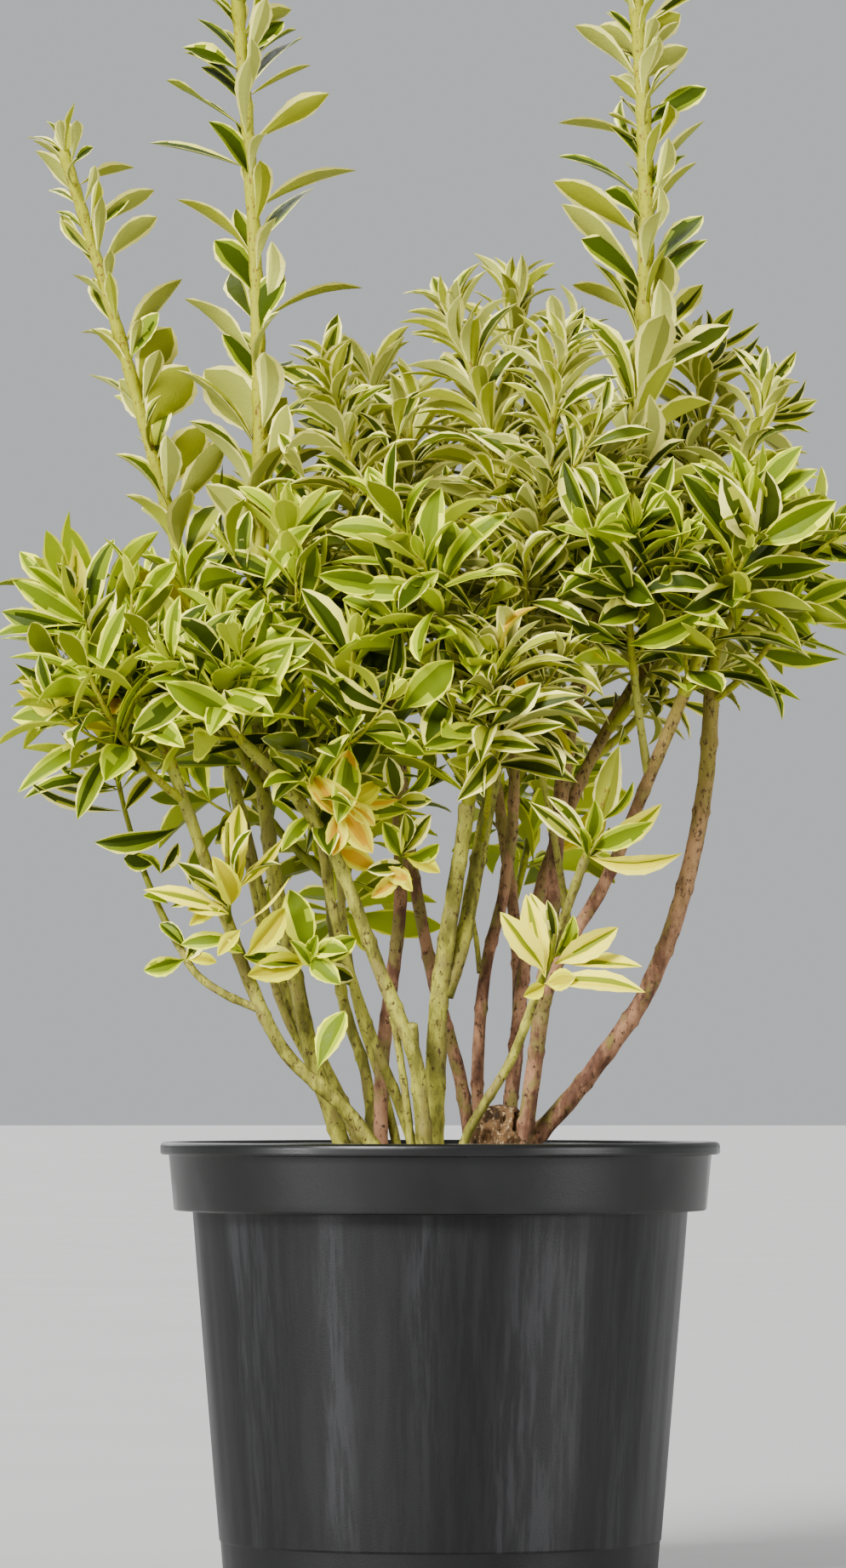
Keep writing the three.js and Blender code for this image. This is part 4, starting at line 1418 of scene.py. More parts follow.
# The sprays beside their shoot's own leaves
SPRAYS_BESIDE = {
    "shoot_left_front": (
        ((-78, -84, 340), (
            (-61, 38, 10, 6, 0.34, LIME), (30, 42, 4, -8, 0.34, LIME), (-20, 20, 30, 30, 0.4, SAGE),
        )),
    ),
    "shoot_left_edge": (
        ((-145, -58, 392), (
            (2, 25, 5, 12, 0.34, CREAM), (-52, 25, 20, 24, 0.3, LIME), (-30, 19, 40, 10, 0.36, OLIVE),
        )),
        ((-138, -58, 380), (
            (-60, 38, 14, -14, 0.26, LIME), (-78, 38, 10, -24, 0.27, DEEP), (30, 26, 30, 20, 0.36, OLIVE),
        )),
        ((-124, -57, 356), (
            (-73, 48, 10, -20, 0.25, DEEP), (-84, 46, 20, -30, 0.24, CREAM), (40, 28, 30, 20, 0.34, LIME),
        )),
    ),
    "shoot_left_low": (
        ((-126, -36, 307), ((-73, 50, 8, -50, 0.2, SAGE), (40, 22, 10, -40, 0.3, SAGE))),
        ((-128, -36, 318), (
            (-80, 36, 10, -60, 0.22, OLIVE), (-64, 30, 10, -30, 0.24, DEEP), (24, 24, 10, -30, 0.3, LIME),
        )),
        ((-131, -35, 326), ((-52, 28, 10, -60, 0.18, SAGE), (8, 24, 10, 20, 0.3, DEEP))),
        ((-104, -38, 306), ((-101, 36, 8, -30, 0.26, DEEP),)),
        ((-112, -36, 286), (
            (-84, 14, 10, 10, 0.6, DEEP), (30, 15, 10, 20, 0.4, SAGE), (-50, 15, 20, 40, 0.36, LIME),
        )),
        ((-108, -36, 271), ((-72, 11, 10, 20, 0.44, LIME), (60, 17, 10, 30, 0.3, OLIVE))),
        ((-101, -38, 252), (
            (-106, 18, 10, 10, 0.44, LIME), (96, 13, 20, 0, 0.42, GOLD), (34, 14, 10, 20, 0.42, SAGE),
            (-46, 16, 0, 30, 0.4, DEEP),
        )),
    ),
    "shoot_left_outer": (
        ((-124, -60, 338), ((-68, 47, 14, -30, 0.25, GOLD),)),
    ),
    "shoot_left_inner": (
        ((-101, -32, 384), (
            (-60, 38, 24, 14, 0.27, LIME), (36, 40, 16, -20, 0.28, DEEP), (70, 40, 10, -20, 0.26, LIME),
        )),
    ),
    "shoot_centre_low": (
        ((-20, -70, 396), (
            (-82, 30, 18, -14, 0.33, LIME), (64, 25, 22, 10, 0.36, LIME), (-24, 24, 30, 30, 0.4, DEEP),
        )),
        ((-16, -70, 350), (
            (48, 31, 14, 6, 0.46, LIME), (-56, 47, 10, -16, 0.28, DEEP), (-16, 15, 50, 20, 0.4, OLIVE),
        )),
        ((1, -38, 256), ((-9, 22, 10, 20, 0.28, CREAM),)),
        ((-52, -62, 322), (
            (-150, 24, 10, 20, 0.4, PEACH), (146, 24, 20, 10, 0.42, PEACH), (124, 26, 10, 20, 0.36, PEACH),
            (172, 20, 20, 30, 0.44, GOLD),
        )),
    ),
    "shoot_centre_front": (
        ((18, -66, 340), (
            (72, 42, 10, -24, 0.28, SAGE), (50, 30, 14, 20, 0.36, OLIVE), (80, 34, 20, -30, 0.26, SAGE),
        )),
    ),
    "shoot_right_inner": (
        ((76, -60, 392), (
            (-72, 40, 16, -20, 0.32, DEEP), (-34, 36, 20, 10, 0.34, DEEP), (84, 42, 12, -16, 0.33, DEEP),
        )),
        ((74, -56, 372), ((-64, 44, 12, -20, 0.33, DEEP), (66, 36, 14, 10, 0.3, LIME))),
    ),
    "shoot_right_mid": (
        ((124, -56, 414), (
            (-26, 33, 20, 12, 0.38, SAGE), (8, 34, 10, 16, 0.36, SAGE), (62, 38, 14, -10, 0.34, LIME),
        )),
    ),
    "shoot_far_right": (
        ((124, -6, 374), ((98, 38, 5, 20, 0.26, LIME), (74, 30, 5, 64, 0.22, SAGE))),
    ),
    "shoot_right_back": (
        ((106, 44, 501), (
            (10, 18, 0, 20, 0.28, SAGE), (42, 24, 0, 30, 0.24, OLIVE), (-34, 20, 0, 20, 0.28, OLIVE),
            (62, 30, 0, 50, 0.22, SAGE), (-62, 26, 0, 20, 0.26, SAGE),
        )),
        ((104, 44, 490), (
            (57, 33, 0, 50, 0.22, SAGE), (72, 31, 0, -20, 0.26, OLIVE), (40, 22, 0, 40, 0.24, SAGE),
        )),
    ),
    "shoot_right_outer": (
        ((131, 24, 482), (
            (6, 20, 0, 20, 0.28, OLIVE), (40, 24, 0, 30, 0.24, SAGE), (-36, 22, 0, 20, 0.28, SAGE),
        )),
        ((127, 22, 472), (
            (54, 30, 0, 50, 0.22, SAGE), (70, 29, 0, 30, 0.24, OLIVE), (86, 26, 0, 20, 0.26, SAGE),
        )),
    ),
    "shoot_centre_right": (
        ((40, -40, 350), ((146, 24, 20, 20, 0.42, GOLD),)),
    ),
}
SPRAYS = tuple(
    Spray(shoot, foot, rows, table is LONE_SPRAYS)
    for table in (LONE_SPRAYS, SPRAYS_BESIDE)
    for shoot, sprays in table.items()
    for foot, rows in sprays
)


@dataclass(frozen=True)
class Profile:
    """The leaves that the photo shows beside a tall shoot, which take the place of its own ones there.

    Each leaf has its foot's height, its lean from upright to the right, its length and, as a share of that,
    its width as they look, and how far its upper face is turned from the viewer to the sky: past 90 its
    underside shows. Arch and fold make a blade look smaller than it is, so it is made longer and wider.
    """

    rows: tuple[tuple[float, float, float, float, float], ...]
    smaller: float = 0.78
    longer: float = 1.12
    wider: float = 1.46
    beyond: float = 4
    sideways: float = 0.8
    tilt_jitter: float = 16
    turn_jitter: float = 8
    widest: Span = (0.6, 0.7)
    arch: Span = (10, 54)
    fold: Span = (6, 22)

    def spared(self, leaves: Leaves) -> Leaves:
        """The shoot's own leaves that stay: at the rows' heights and a little beyond, only those before and
        behind the stem, and smaller.

        Args:
            leaves: the shoot's own leaves.

        Returns:
            The leaves that stay.
        """
        heights = [row[0] for row in self.rows]
        height, (across, away) = leaves.foot[:, 2], np.abs(leaves.direction[:, :2]).T
        beside = (height > min(heights) - self.beyond) & (height < max(heights) + self.beyond)
        leaves.length = np.where(beside, self.smaller * leaves.length, leaves.length)
        return leaves.kept(~beside | (away > self.sideways * across))

    def leaves_of(self, shoot: int, path: Array, dice: Dice) -> Leaves:
        """The profile's leaves.

        Args:
            shoot: the shoot's number.
            path: the shoot's line.
            dice: the random stream.

        Returns:
            The leaves' places.
        """
        height, lean, length, width, turn = np.array(self.rows, float).T
        count = len(height)
        foot = np.stack([np.interp(height, path[:, 2], path[:, axis]) for axis in range(3)], 1)
        tilt = dice.uniform(-self.tilt_jitter, self.tilt_jitter, count)
        direction, square = seen_directions(lean, tilt)
        stray = dice.uniform(-self.turn_jitter, self.turn_jitter, count)
        face = turned(square, direction, -np.sign(lean) * (turn + stray))
        mood = np.where(turn > 90, MOODS.index(SAGE), MOODS.index(DEEP))
        return Leaves(
            foot, direction, face, self.longer * length, self.wider * width,
            dice.uniform(*self.widest, count), dice.uniform(*self.arch, count),
            dice.uniform(*self.fold, count), np.full(count, 0.5), mood, np.full(count, shoot)
        )


PROFILE_ROWS = {
    "shoot_tall_left": (
        (622, 56, 23, 0.38, 120), (616, 47, 21, 0.42, 60), (610, 50, 26, 0.38, 60),
        (602, 45, 31, 0.32, 60), (600, 63, 27, 0.22, 100), (581, 57, 35, 0.2, 130),
        (553, 68, 42, 0.2, 100), (538, 42, 34, 0.34, 50), (508, 70, 42, 0.2, 104), (501, 22, 27, 0.38, 50),
        (475, 36, 22, 0.42, 60), (460, 30, 20, 0.42, 130), (626, -44, 22, 0.36, 60),
        (615, -46, 24, 0.38, 60), (610, -68, 24, 0.38, 60), (602, -58, 28, 0.28, 60),
        (594, -45, 24, 0.38, 60), (587, -57, 37, 0.22, 70), (567, -37, 27, 0.35, 50),
        (571, -75, 38, 0.22, 70), (534, -52, 37, 0.2, 100), (518, -35, 28, 0.34, 50),
        (492, -48, 38, 0.24, 120), (481, -32, 27, 0.32, 50), (460, -37, 34, 0.42, 140),
    ),
    "shoot_far_left": (
        (573, 51, 12, 0.4, 60), (565, 73, 24, 0.3, 110), (547, 58, 29, 0.24, 120), (545, 45, 21, 0.36, 50),
        (532, 48, 29, 0.24, 130), (501, 42, 33, 0.27, 130), (494, 33, 22, 0.32, 50),
        (481, 27, 28, 0.4, 140), (466, 33, 29, 0.46, 150), (571, -49, 19, 0.32, 110),
        (560, -41, 25, 0.3, 120), (538, -45, 18, 0.26, 110), (518, -52, 18, 0.28, 110),
        (484, -37, 28, 0.22, 120), (468, -29, 22, 0.46, 140), (577, -4, 14, 0.5, 140),
        (440, 30, 30, 0.36, 140),
    ),
    "shoot_tall_right": (
        (623, -43, 16, 0.34, 60), (616, -49, 21, 0.34, 120), (606, -49, 33, 0.24, 110),
        (597, -47, 17, 0.28, 110), (587, -63, 15, 0.24, 100), (582, -77, 33, 0.2, 100),
        (573, -43, 23, 0.36, 60), (558, -63, 37, 0.22, 80), (542, -56, 41, 0.24, 110),
        (548, -50, 21, 0.32, 60), (522, -44, 44, 0.2, 110), (520, -49, 32, 0.38, 50),
        (510, -63, 30, 0.24, 120), (619, 46, 21, 0.36, 130), (614, 42, 21, 0.22, 100),
        (607, 54, 21, 0.36, 130), (598, 44, 19, 0.22, 100), (588, 56, 28, 0.28, 50),
        (594, 63, 10, 0.3, 100), (564, 41, 33, 0.24, 100), (561, 46, 22, 0.4, 50),
        (547, 37, 32, 0.26, 110), (527, 42, 32, 0.38, 60), (516, 44, 34, 0.32, 50),
    ),
}
PROFILES = {shoot: Profile(rows) for shoot, rows in PROFILE_ROWS.items()}


@dataclass(frozen=True)
class Rule:
    """How leaves and twigs stand on a shoot.

    Leans are angles from the shoot, in degrees. Leaves reach their full length at 1 / soon_long of the way
    up, and the lowest ones' extra width is gone at 1 / soon_slim. The bud's first pair stands at bud_first of
    the way up, and the next bud_step higher, bud_less shorter and leaning bud_closing less. A twig's
    thickness, leaves and lift are shares of the shoot's thickness, of its longest leaf and of the twig's own
    length. Twigs_more is added to every bushy shoot's count, and a shoot whose bare share is twigs_below or
    more has none.
    """

    lean_power: float = 2.4
    turn_jitter: float = 14
    foot_length: float = 0.86
    length_jitter: float = 0.16
    soon_long: float = 3
    soon_slim: float = 1.6
    width_jitter: Span = (0.86, 1.16)
    widest_jitter: float = 0.04
    tries: tuple[float, ...] = (0.66, 0.82, 1.0)
    probes: tuple[float, ...] = (0.45, 0.75, 1.0)
    limb_clearance: float = 0.4
    reach_past: float = 12.0
    bud_pairs: int = 2
    bud_first: float = 0.985
    bud_step: float = 0.012
    bud_leaf: float = 0.42
    bud_less: float = 0.12
    bud_lean: float = 15
    bud_closing: float = 6
    bud_jitter: float = 4
    bud_arch: float = 12
    twig_first: float = 0.02
    twig_last: float = 0.7
    twig_lean: float = 52
    twig_jitter: float = 8
    twig_length: float = 34
    twig_lengths: Span = (0.75, 1.25)
    twig_taper: Span = (1.1, 0.7)
    twig_points: int = 24
    twig_lift: float = 0.4
    twig_pairs: int = 4
    twig_leaf: float = 0.82
    twig_stem: float = 0.5
    twig_rings: int = 10
    twig_sides: int = 6
    twigs_more: int = 3
    twigs_below: float = 0.6
    golden_turn: float = 137.5

    def sideways(self, stem: Array, turn: Array) -> Array:
        """Directions square to a stem, turned round it from the side that faces the plant's left."""
        return turned(unit(np.cross(stem, AXES[1])), stem, turn)

    def pairs_along(
        self, path: Array, shoot: int, habit: Habit, longest: float, pairs: int, dice: Dice,
        turn: float | None = None, bare: float = 0.0
    ) -> Leaves:
        """Leaves in opposite pairs along one stem, each pair a quarter turn from the last.

        Formula: pair k of n stands at 1 - (1 - s) ^ crowding of the way up the leafy part, where s is
        (k + 0.6) / n, less the grouping's share of 1 / n for every second pair. Its lean runs from the foot's
        to the tip's with a power of the way up. A few small pairs close round the bud.

        Args:
            path: the stem's evenly spaced points.
            shoot: the shoot's number.
            habit: how it carries its leaves.
            longest: the longest leaf.
            pairs: how many pairs.
            dice: the random stream.
            turn: the first pair's turn, or None for any.
            bare: the share of the stem, from its foot, without leaves.

        Returns:
            The leaves' places.
        """
        k = np.repeat(np.arange(pairs + self.bud_pairs), 2)
        opposite = np.tile([0.0, 180.0], pairs + self.bud_pairs)
        bud = k >= pairs
        step = (np.minimum(k, pairs - 1) + 0.6 - habit.grouping * (k % 2)) / pairs
        above = k - pairs
        share = np.where(bud, self.bud_first + self.bud_step * above, 1 - (1 - step) ** habit.crowding)
        foot, stem = place_on(path, mix(bare, 1, share))
        first = dice.uniform(0, 360) if turn is None else turn
        wander = np.repeat(dice.uniform(-1, 1, pairs + self.bud_pairs), 2) * self.turn_jitter
        out = self.sideways(stem, first + 90 * k + wander + opposite)
        lean = mix(habit.foot_lean, habit.tip_lean, share**self.lean_power)
        lean = lean + dice.uniform(-1, 1, len(k)) * habit.jitter
        stray = dice.uniform(-self.bud_jitter, self.bud_jitter, len(k))
        lean = np.where(bud, self.bud_lean - self.bud_closing * above + stray, lean)
        shape = mix(self.foot_length, 1, np.minimum(1, self.soon_long * share))
        shape = shape * mix(1, habit.tip_length, share**3)
        shape = np.where(bud, self.bud_leaf - self.bud_less * above, shape)
        length = longest * habit.longer * shape * (1 + dice.uniform(-1, 1, len(k)) * self.length_jitter)
        angle = np.radians(lean)[:, None]
        direction = stem * np.cos(angle) + out * np.sin(angle)
        face = stem * np.sin(angle) - out * np.cos(angle)
        face = turned(face, direction, dice.uniform(-1, 1, len(k)) * habit.roll)
        width = habit.slim * dice.uniform(*self.width_jitter, len(k))
        width = width * mix(habit.foot_wide, 1, np.minimum(1, self.soon_slim * share))
        arch, fold = dice.uniform(*habit.arch, len(k)), dice.uniform(*habit.fold, len(k))
        arch = np.where(bud, self.bud_arch, arch)
        own = np.full(len(k), shoot)
        widest = habit.widest + dice.uniform(-self.widest_jitter, self.widest_jitter, len(k))
        return Leaves(foot, direction, face, length, width, widest, arch, fold, share, 0 * own, own)

    def side_twigs(self, path: Array, count: int, dice: Dice, bare: float) -> Array:
        """Side twigs spread round a shoot by the golden angle, leaning out and bending up.

        Args:
            path: the shoot's evenly spaced points.
            count: how many twigs.
            dice: the random stream.
            bare: the share of the shoot without twigs.

        Returns:
            (count, rings, 3) points along the twigs.
        """
        k = np.arange(count)
        share = mix(max(self.twig_first, bare), self.twig_last, (k + 0.5) / max(count, 1))
        foot, stem = place_on(path, share)
        out = self.sideways(stem, self.golden_turn * k + 360 * dice.uniform())
        lean = self.twig_lean + dice.uniform(-self.twig_jitter, self.twig_jitter, count)
        angle = np.radians(lean)[:, None]
        direction = stem * np.cos(angle) + out * np.sin(angle)
        length = self.twig_length * dice.uniform(*self.twig_lengths, count) * mix(*self.twig_taper, share)
        length = length[:, None]
        knee = foot + direction * length / 2
        end = foot + direction * length + AXES[2] * self.twig_lift * length
        return arc(foot, knee, end, self.twig_rings)

    def settled(self, leaves: Leaves, limbs: Array, thick: Array, low: Array, high: Array) -> Leaves:
        """Shrinks, or drops, leaves that would touch a limb or reach too far past their solid.

        Each leaf keeps the largest size tried at which its middle line is clear of the limbs, at the probes'
        shares of its length, and its tip within the reach past its solid's box.

        Args:
            leaves: the leaves wanted.
            limbs: (m, 3) points along all the limbs.
            thick: (m,) radii there.
            low: each shoot's lowest corner.
            high: each shoot's highest corner.

        Returns:
            The leaves that fit, at the size that fits.
        """
        size = np.zeros(len(leaves.length))
        low, high = low[leaves.shoot] - self.reach_past, high[leaves.shoot] + self.reach_past
        for tried in self.tries:
            fits = np.ones(len(size), bool)
            for far in self.probes:
                probe = leaves.foot + leaves.direction * (leaves.length * tried * far)[:, None]
                apart = np.linalg.norm(probe[:, None] - limbs[None], axis=2) - thick
                fits &= apart.min(1) > self.limb_clearance
            inside = (probe > low) & (probe < high)
            size = np.where(fits & inside.all(1), tried, size)
        leaves.length = leaves.length * size
        return leaves.kept(size > 0)


# The parts of a leaf, as its mood numbers their materials, those of the upper side's inner strips of faces
# from left to right, and how many strips a leaf has with the two of its underside
MARGIN, FEATHER, CENTRE, UNDER = range(4)
UPPER_STRIPS = (FEATHER, CENTRE, CENTRE, FEATHER)
STRIPS = 6
PARTS = 4

Face = tuple[int, int, tuple[int, ...]]


@dataclass(frozen=True)
class Blade:
    """One spindle leaf: a folded, arched, finely toothed blade with a margin, a feathered zone and a centre.

    Its points are the foot, the tip, those of the left and the right edge, and eight columns of inner
    points: 0 to 4 across the upper side and 5 to 7 across the underside. An edge has twice as many points.
    """

    segments: int = 6
    fullness: float = 0.84
    point: float = 1.4
    blunting: float = 5.0
    slim: float = 0.2
    stalk: float = 0.55
    stalk_share: float = 0.3
    tooth: float = 0.055
    between_teeth: float = -0.4
    thickness: float = 0.62
    under_side: float = 0.3
    wave: float = 0.16
    waves: Span = (0.8, 1.6)
    edge_flat: float = 0.35
    twist: float = 26
    margin_stray: Span = (-0.2, 0.2)
    margin_limits: Span = (0.2, 0.96)
    feather: Span = (0.35, 0.8)

    def columns(self) -> tuple[Array, Array]:
        """The share of the length at each point, and the points on the edges that stand out as teeth.

        Returns:
            (points,) shares along, and (points,) tooth weights.
        """
        n = self.segments
        edge = np.arange(1, 2 * n) / (2 * n)
        inner = np.arange(1, n) / n
        along = np.concatenate([[0.0, 1.0], edge, edge, np.tile(inner, 8)])
        teeth = np.where(np.arange(1, 2 * n) % 2 == 1, 1.0, self.between_teeth)
        return along, np.concatenate([[0.0, 0.0], teeth, teeth, np.zeros(8 * (n - 1))])

    def left(self, k: int) -> int:
        """The number of the left edge's point k, from 1 at the foot."""
        return 1 + k

    def right(self, k: int) -> int:
        """The number of the right edge's point k, from 1 at the foot."""
        return 2 * self.segments + k

    def inner(self, column: int, j: int) -> int:
        """The number of a column's point j, from 1 at the foot. The columns come after the right edge."""
        return self.right(2 * self.segments) + column * (self.segments - 1) + j - 1

    def end_faces(self) -> Iterator[Face]:
        """The faces round the foot and the tip, each with its part, its strip and its corners."""
        n = self.segments
        for end, j, near, far in ((0, 1, 1, 2), (1, n - 1, 2 * n - 1, 2 * n - 2)):
            ring = [self.inner(column, j) for column in range(8)]
            faces = (
                (MARGIN, 0, (end, ring[0], self.left(far), self.left(near))),
                (MARGIN, 0, (end, self.right(near), self.right(far), ring[4])),
                (MARGIN, 0, (end, self.left(near), self.left(far), ring[5])),
                (MARGIN, 0, (end, ring[7], self.right(far), self.right(near))),
                (UNDER, 4, (end, ring[5], ring[6])),
                (UNDER, 5, (end, ring[6], ring[7])),
                *((part, i, (end, ring[i + 1], ring[i])) for i, part in enumerate(UPPER_STRIPS)),
            )
            for part, strip, corners in faces:
                yield part, strip, corners[::-1] if end else corners

    def side_faces(self) -> Iterator[Face]:
        """The faces between foot and tip, each with its part, its strip and its corners. A margin face has
        five corners and carries a tooth."""
        left, right, inner = self.left, self.right, self.inner
        for j in range(1, self.segments - 1):
            k = 2 * j
            yield MARGIN, 0, (left(k), inner(0, j), inner(0, j + 1), left(k + 2), left(k + 1))
            yield MARGIN, 0, (inner(4, j), right(k), right(k + 1), right(k + 2), inner(4, j + 1))
            yield MARGIN, 0, (left(k), left(k + 1), left(k + 2), inner(5, j + 1), inner(5, j))
            yield MARGIN, 0, (inner(7, j), inner(7, j + 1), right(k + 2), right(k + 1), right(k))
            yield UNDER, 4, (inner(5, j), inner(5, j + 1), inner(6, j + 1), inner(6, j))
            yield UNDER, 5, (inner(6, j), inner(6, j + 1), inner(7, j + 1), inner(7, j))
            for i, part in enumerate(UPPER_STRIPS):
                yield part, i, (inner(i, j), inner(i + 1, j), inner(i + 1, j + 1), inner(i, j + 1))

    def faces(self) -> list[tuple[Array, Array, Array]]:
        """The faces by their number of corners.

        Returns:
            For 3, 4 and 5 corners, the faces' corners, parts and strips.
        """
        every = (*self.end_faces(), *self.side_faces())
        groups = []
        for number in (3, 4, 5):
            parts, strips, corners = zip(*(face for face in every if len(face[2]) == number))
            groups.append((np.array(corners), np.array(parts), np.array(strips)))
        return groups

    def outline(self, along: Array, leaves: Leaves) -> Array:
        """The half width from 0 to 1.

        Formula: the sine of half a turn over the length, with its top moved to the widest place, fuller near
        the foot and, on slim leaves, sharper near the tip by a power, and narrowed to the stalk.

        Args:
            along: (points,) shares of the length.
            leaves: the places.

        Returns:
            (leaves, points) half widths.
        """
        power = math.log(0.5) / np.log(leaves.widest)[:, None]
        point = self.point - self.blunting * (leaves.width[:, None] - self.slim)
        point = np.clip(point, self.fullness, self.point)
        wide = np.sin(np.pi * np.clip(along, 0, 1) ** power) ** mix(self.fullness, point, along**2)
        return np.nan_to_num(wide) * mix(self.stalk, 1, np.clip(along / self.stalk_share, 0, 1))

    def uneven(self, dice: Dice, low: float, high: float, count: int) -> Array:
        """Random numbers between two limits for each leaf's inner rows, each like its neighbours."""
        drawn = dice.uniform(low, high, (count, self.segments))
        return (drawn[:, 1:] + drawn[:, :-1]) / 2

    def margin(self, leaves: Leaves, dice: Dice) -> Array:
        """Where the margin starts on one side of each leaf: (leaves, rows) shares of the half width."""
        least, most = np.array([mood.value.margin_from for mood in MOODS])[leaves.mood].T[..., None]
        even = mix(least, most, dice.uniform(0, 1, least.shape))
        stray = (1 - least) * self.uneven(dice, *self.margin_stray, len(least))
        return np.clip(even + stray, *self.margin_limits)

    def across(self, leaves: Leaves, dice: Dice) -> Array:
        """Where every point lies from the left edge, -1, to the right edge, 1.

        Args:
            leaves: the places.
            dice: the random stream.

        Returns:
            (leaves, points) shares of the half width.
        """
        count, n = len(leaves.length), self.segments
        left, right = self.margin(leaves, dice), self.margin(leaves, dice)
        feather_left = left * self.uneven(dice, *self.feather, count)
        feather_right = right * self.uneven(dice, *self.feather, count)
        ends, edge, middle = np.zeros((count, 2)), np.ones((count, 2 * n - 1)), np.zeros((count, n - 1))
        upper = (-left, -feather_left, middle, feather_right, right)
        return np.concatenate([ends, -edge, edge, *upper, -left, middle, right], 1)

    def points(self, leaves: Leaves, dice: Dice) -> Array:
        """The points of every leaf.

        Formula: the blade turns evenly through its arch, so its middle line is a circle's arc whose chord is
        the leaf's direction. A point x from the middle line rises by x times the fold's slope, less towards
        the edge, plus a slow wave, and turns about the middle line by the twist. The underside's rib lies the
        thickness below.

        Args:
            leaves: the places.
            dice: the random stream.

        Returns:
            (leaves, points, 3) points.
        """
        count, n = len(leaves.length), self.segments
        along, teeth = self.columns()
        across = self.across(leaves, dice)
        length = leaves.length[:, None]
        half = length * leaves.width[:, None] / 2 * self.outline(along, leaves) * (1 + self.tooth * teeth)
        x = across * half
        height, waves, start = (
            dice.uniform(low, high, (count, 1)) for low, high in ((0, self.wave), self.waves, (0, 1))
        )
        wave = height * half * np.sin(2 * np.pi * (waves * along + start)) * np.sign(across) * across**2
        fold = np.tan(np.radians(leaves.fold))[:, None]
        under = [n - 1] * 3
        deep = np.repeat([0, self.under_side, 1, self.under_side], [len(along) - sum(under), *under])
        z = np.abs(x) * fold * (1 - self.edge_flat * np.abs(across)) + wave
        z = z - deep * self.thickness * np.sin(np.pi * along) ** 0.5
        arch = np.maximum(np.radians(leaves.arch), 0.02)[:, None]
        slope = arch * (0.5 - along)
        run = (np.sin(arch / 2) - np.sin(slope)) / arch
        rise = (np.cos(slope) - np.cos(arch / 2)) / arch
        twist = np.radians(dice.uniform(-self.twist, self.twist, (count, 1))) * along
        direction, face = leaves.direction[:, None], leaves.face[:, None]
        side = np.cross(direction, face)
        ahead, up = np.sin(slope)[..., None], np.cos(slope)[..., None]
        normal = face * up - direction * ahead
        cos, sin = np.cos(twist)[..., None], np.sin(twist)[..., None]
        beside, above = side * cos + normal * sin, normal * cos - side * sin
        bend = run[..., None] * direction + rise[..., None] * face
        middle = leaves.foot[:, None] + length[..., None] * bend
        return middle + x[..., None] * beside + z[..., None] * above


# The colouring that takes the place of a shoot's own on some of its leaves
NEIGHBOURS = {OLIVE: SAGE, SAGE: OLIVE, DEEP: LIME, LIME: DEEP, CREAM: LIME}


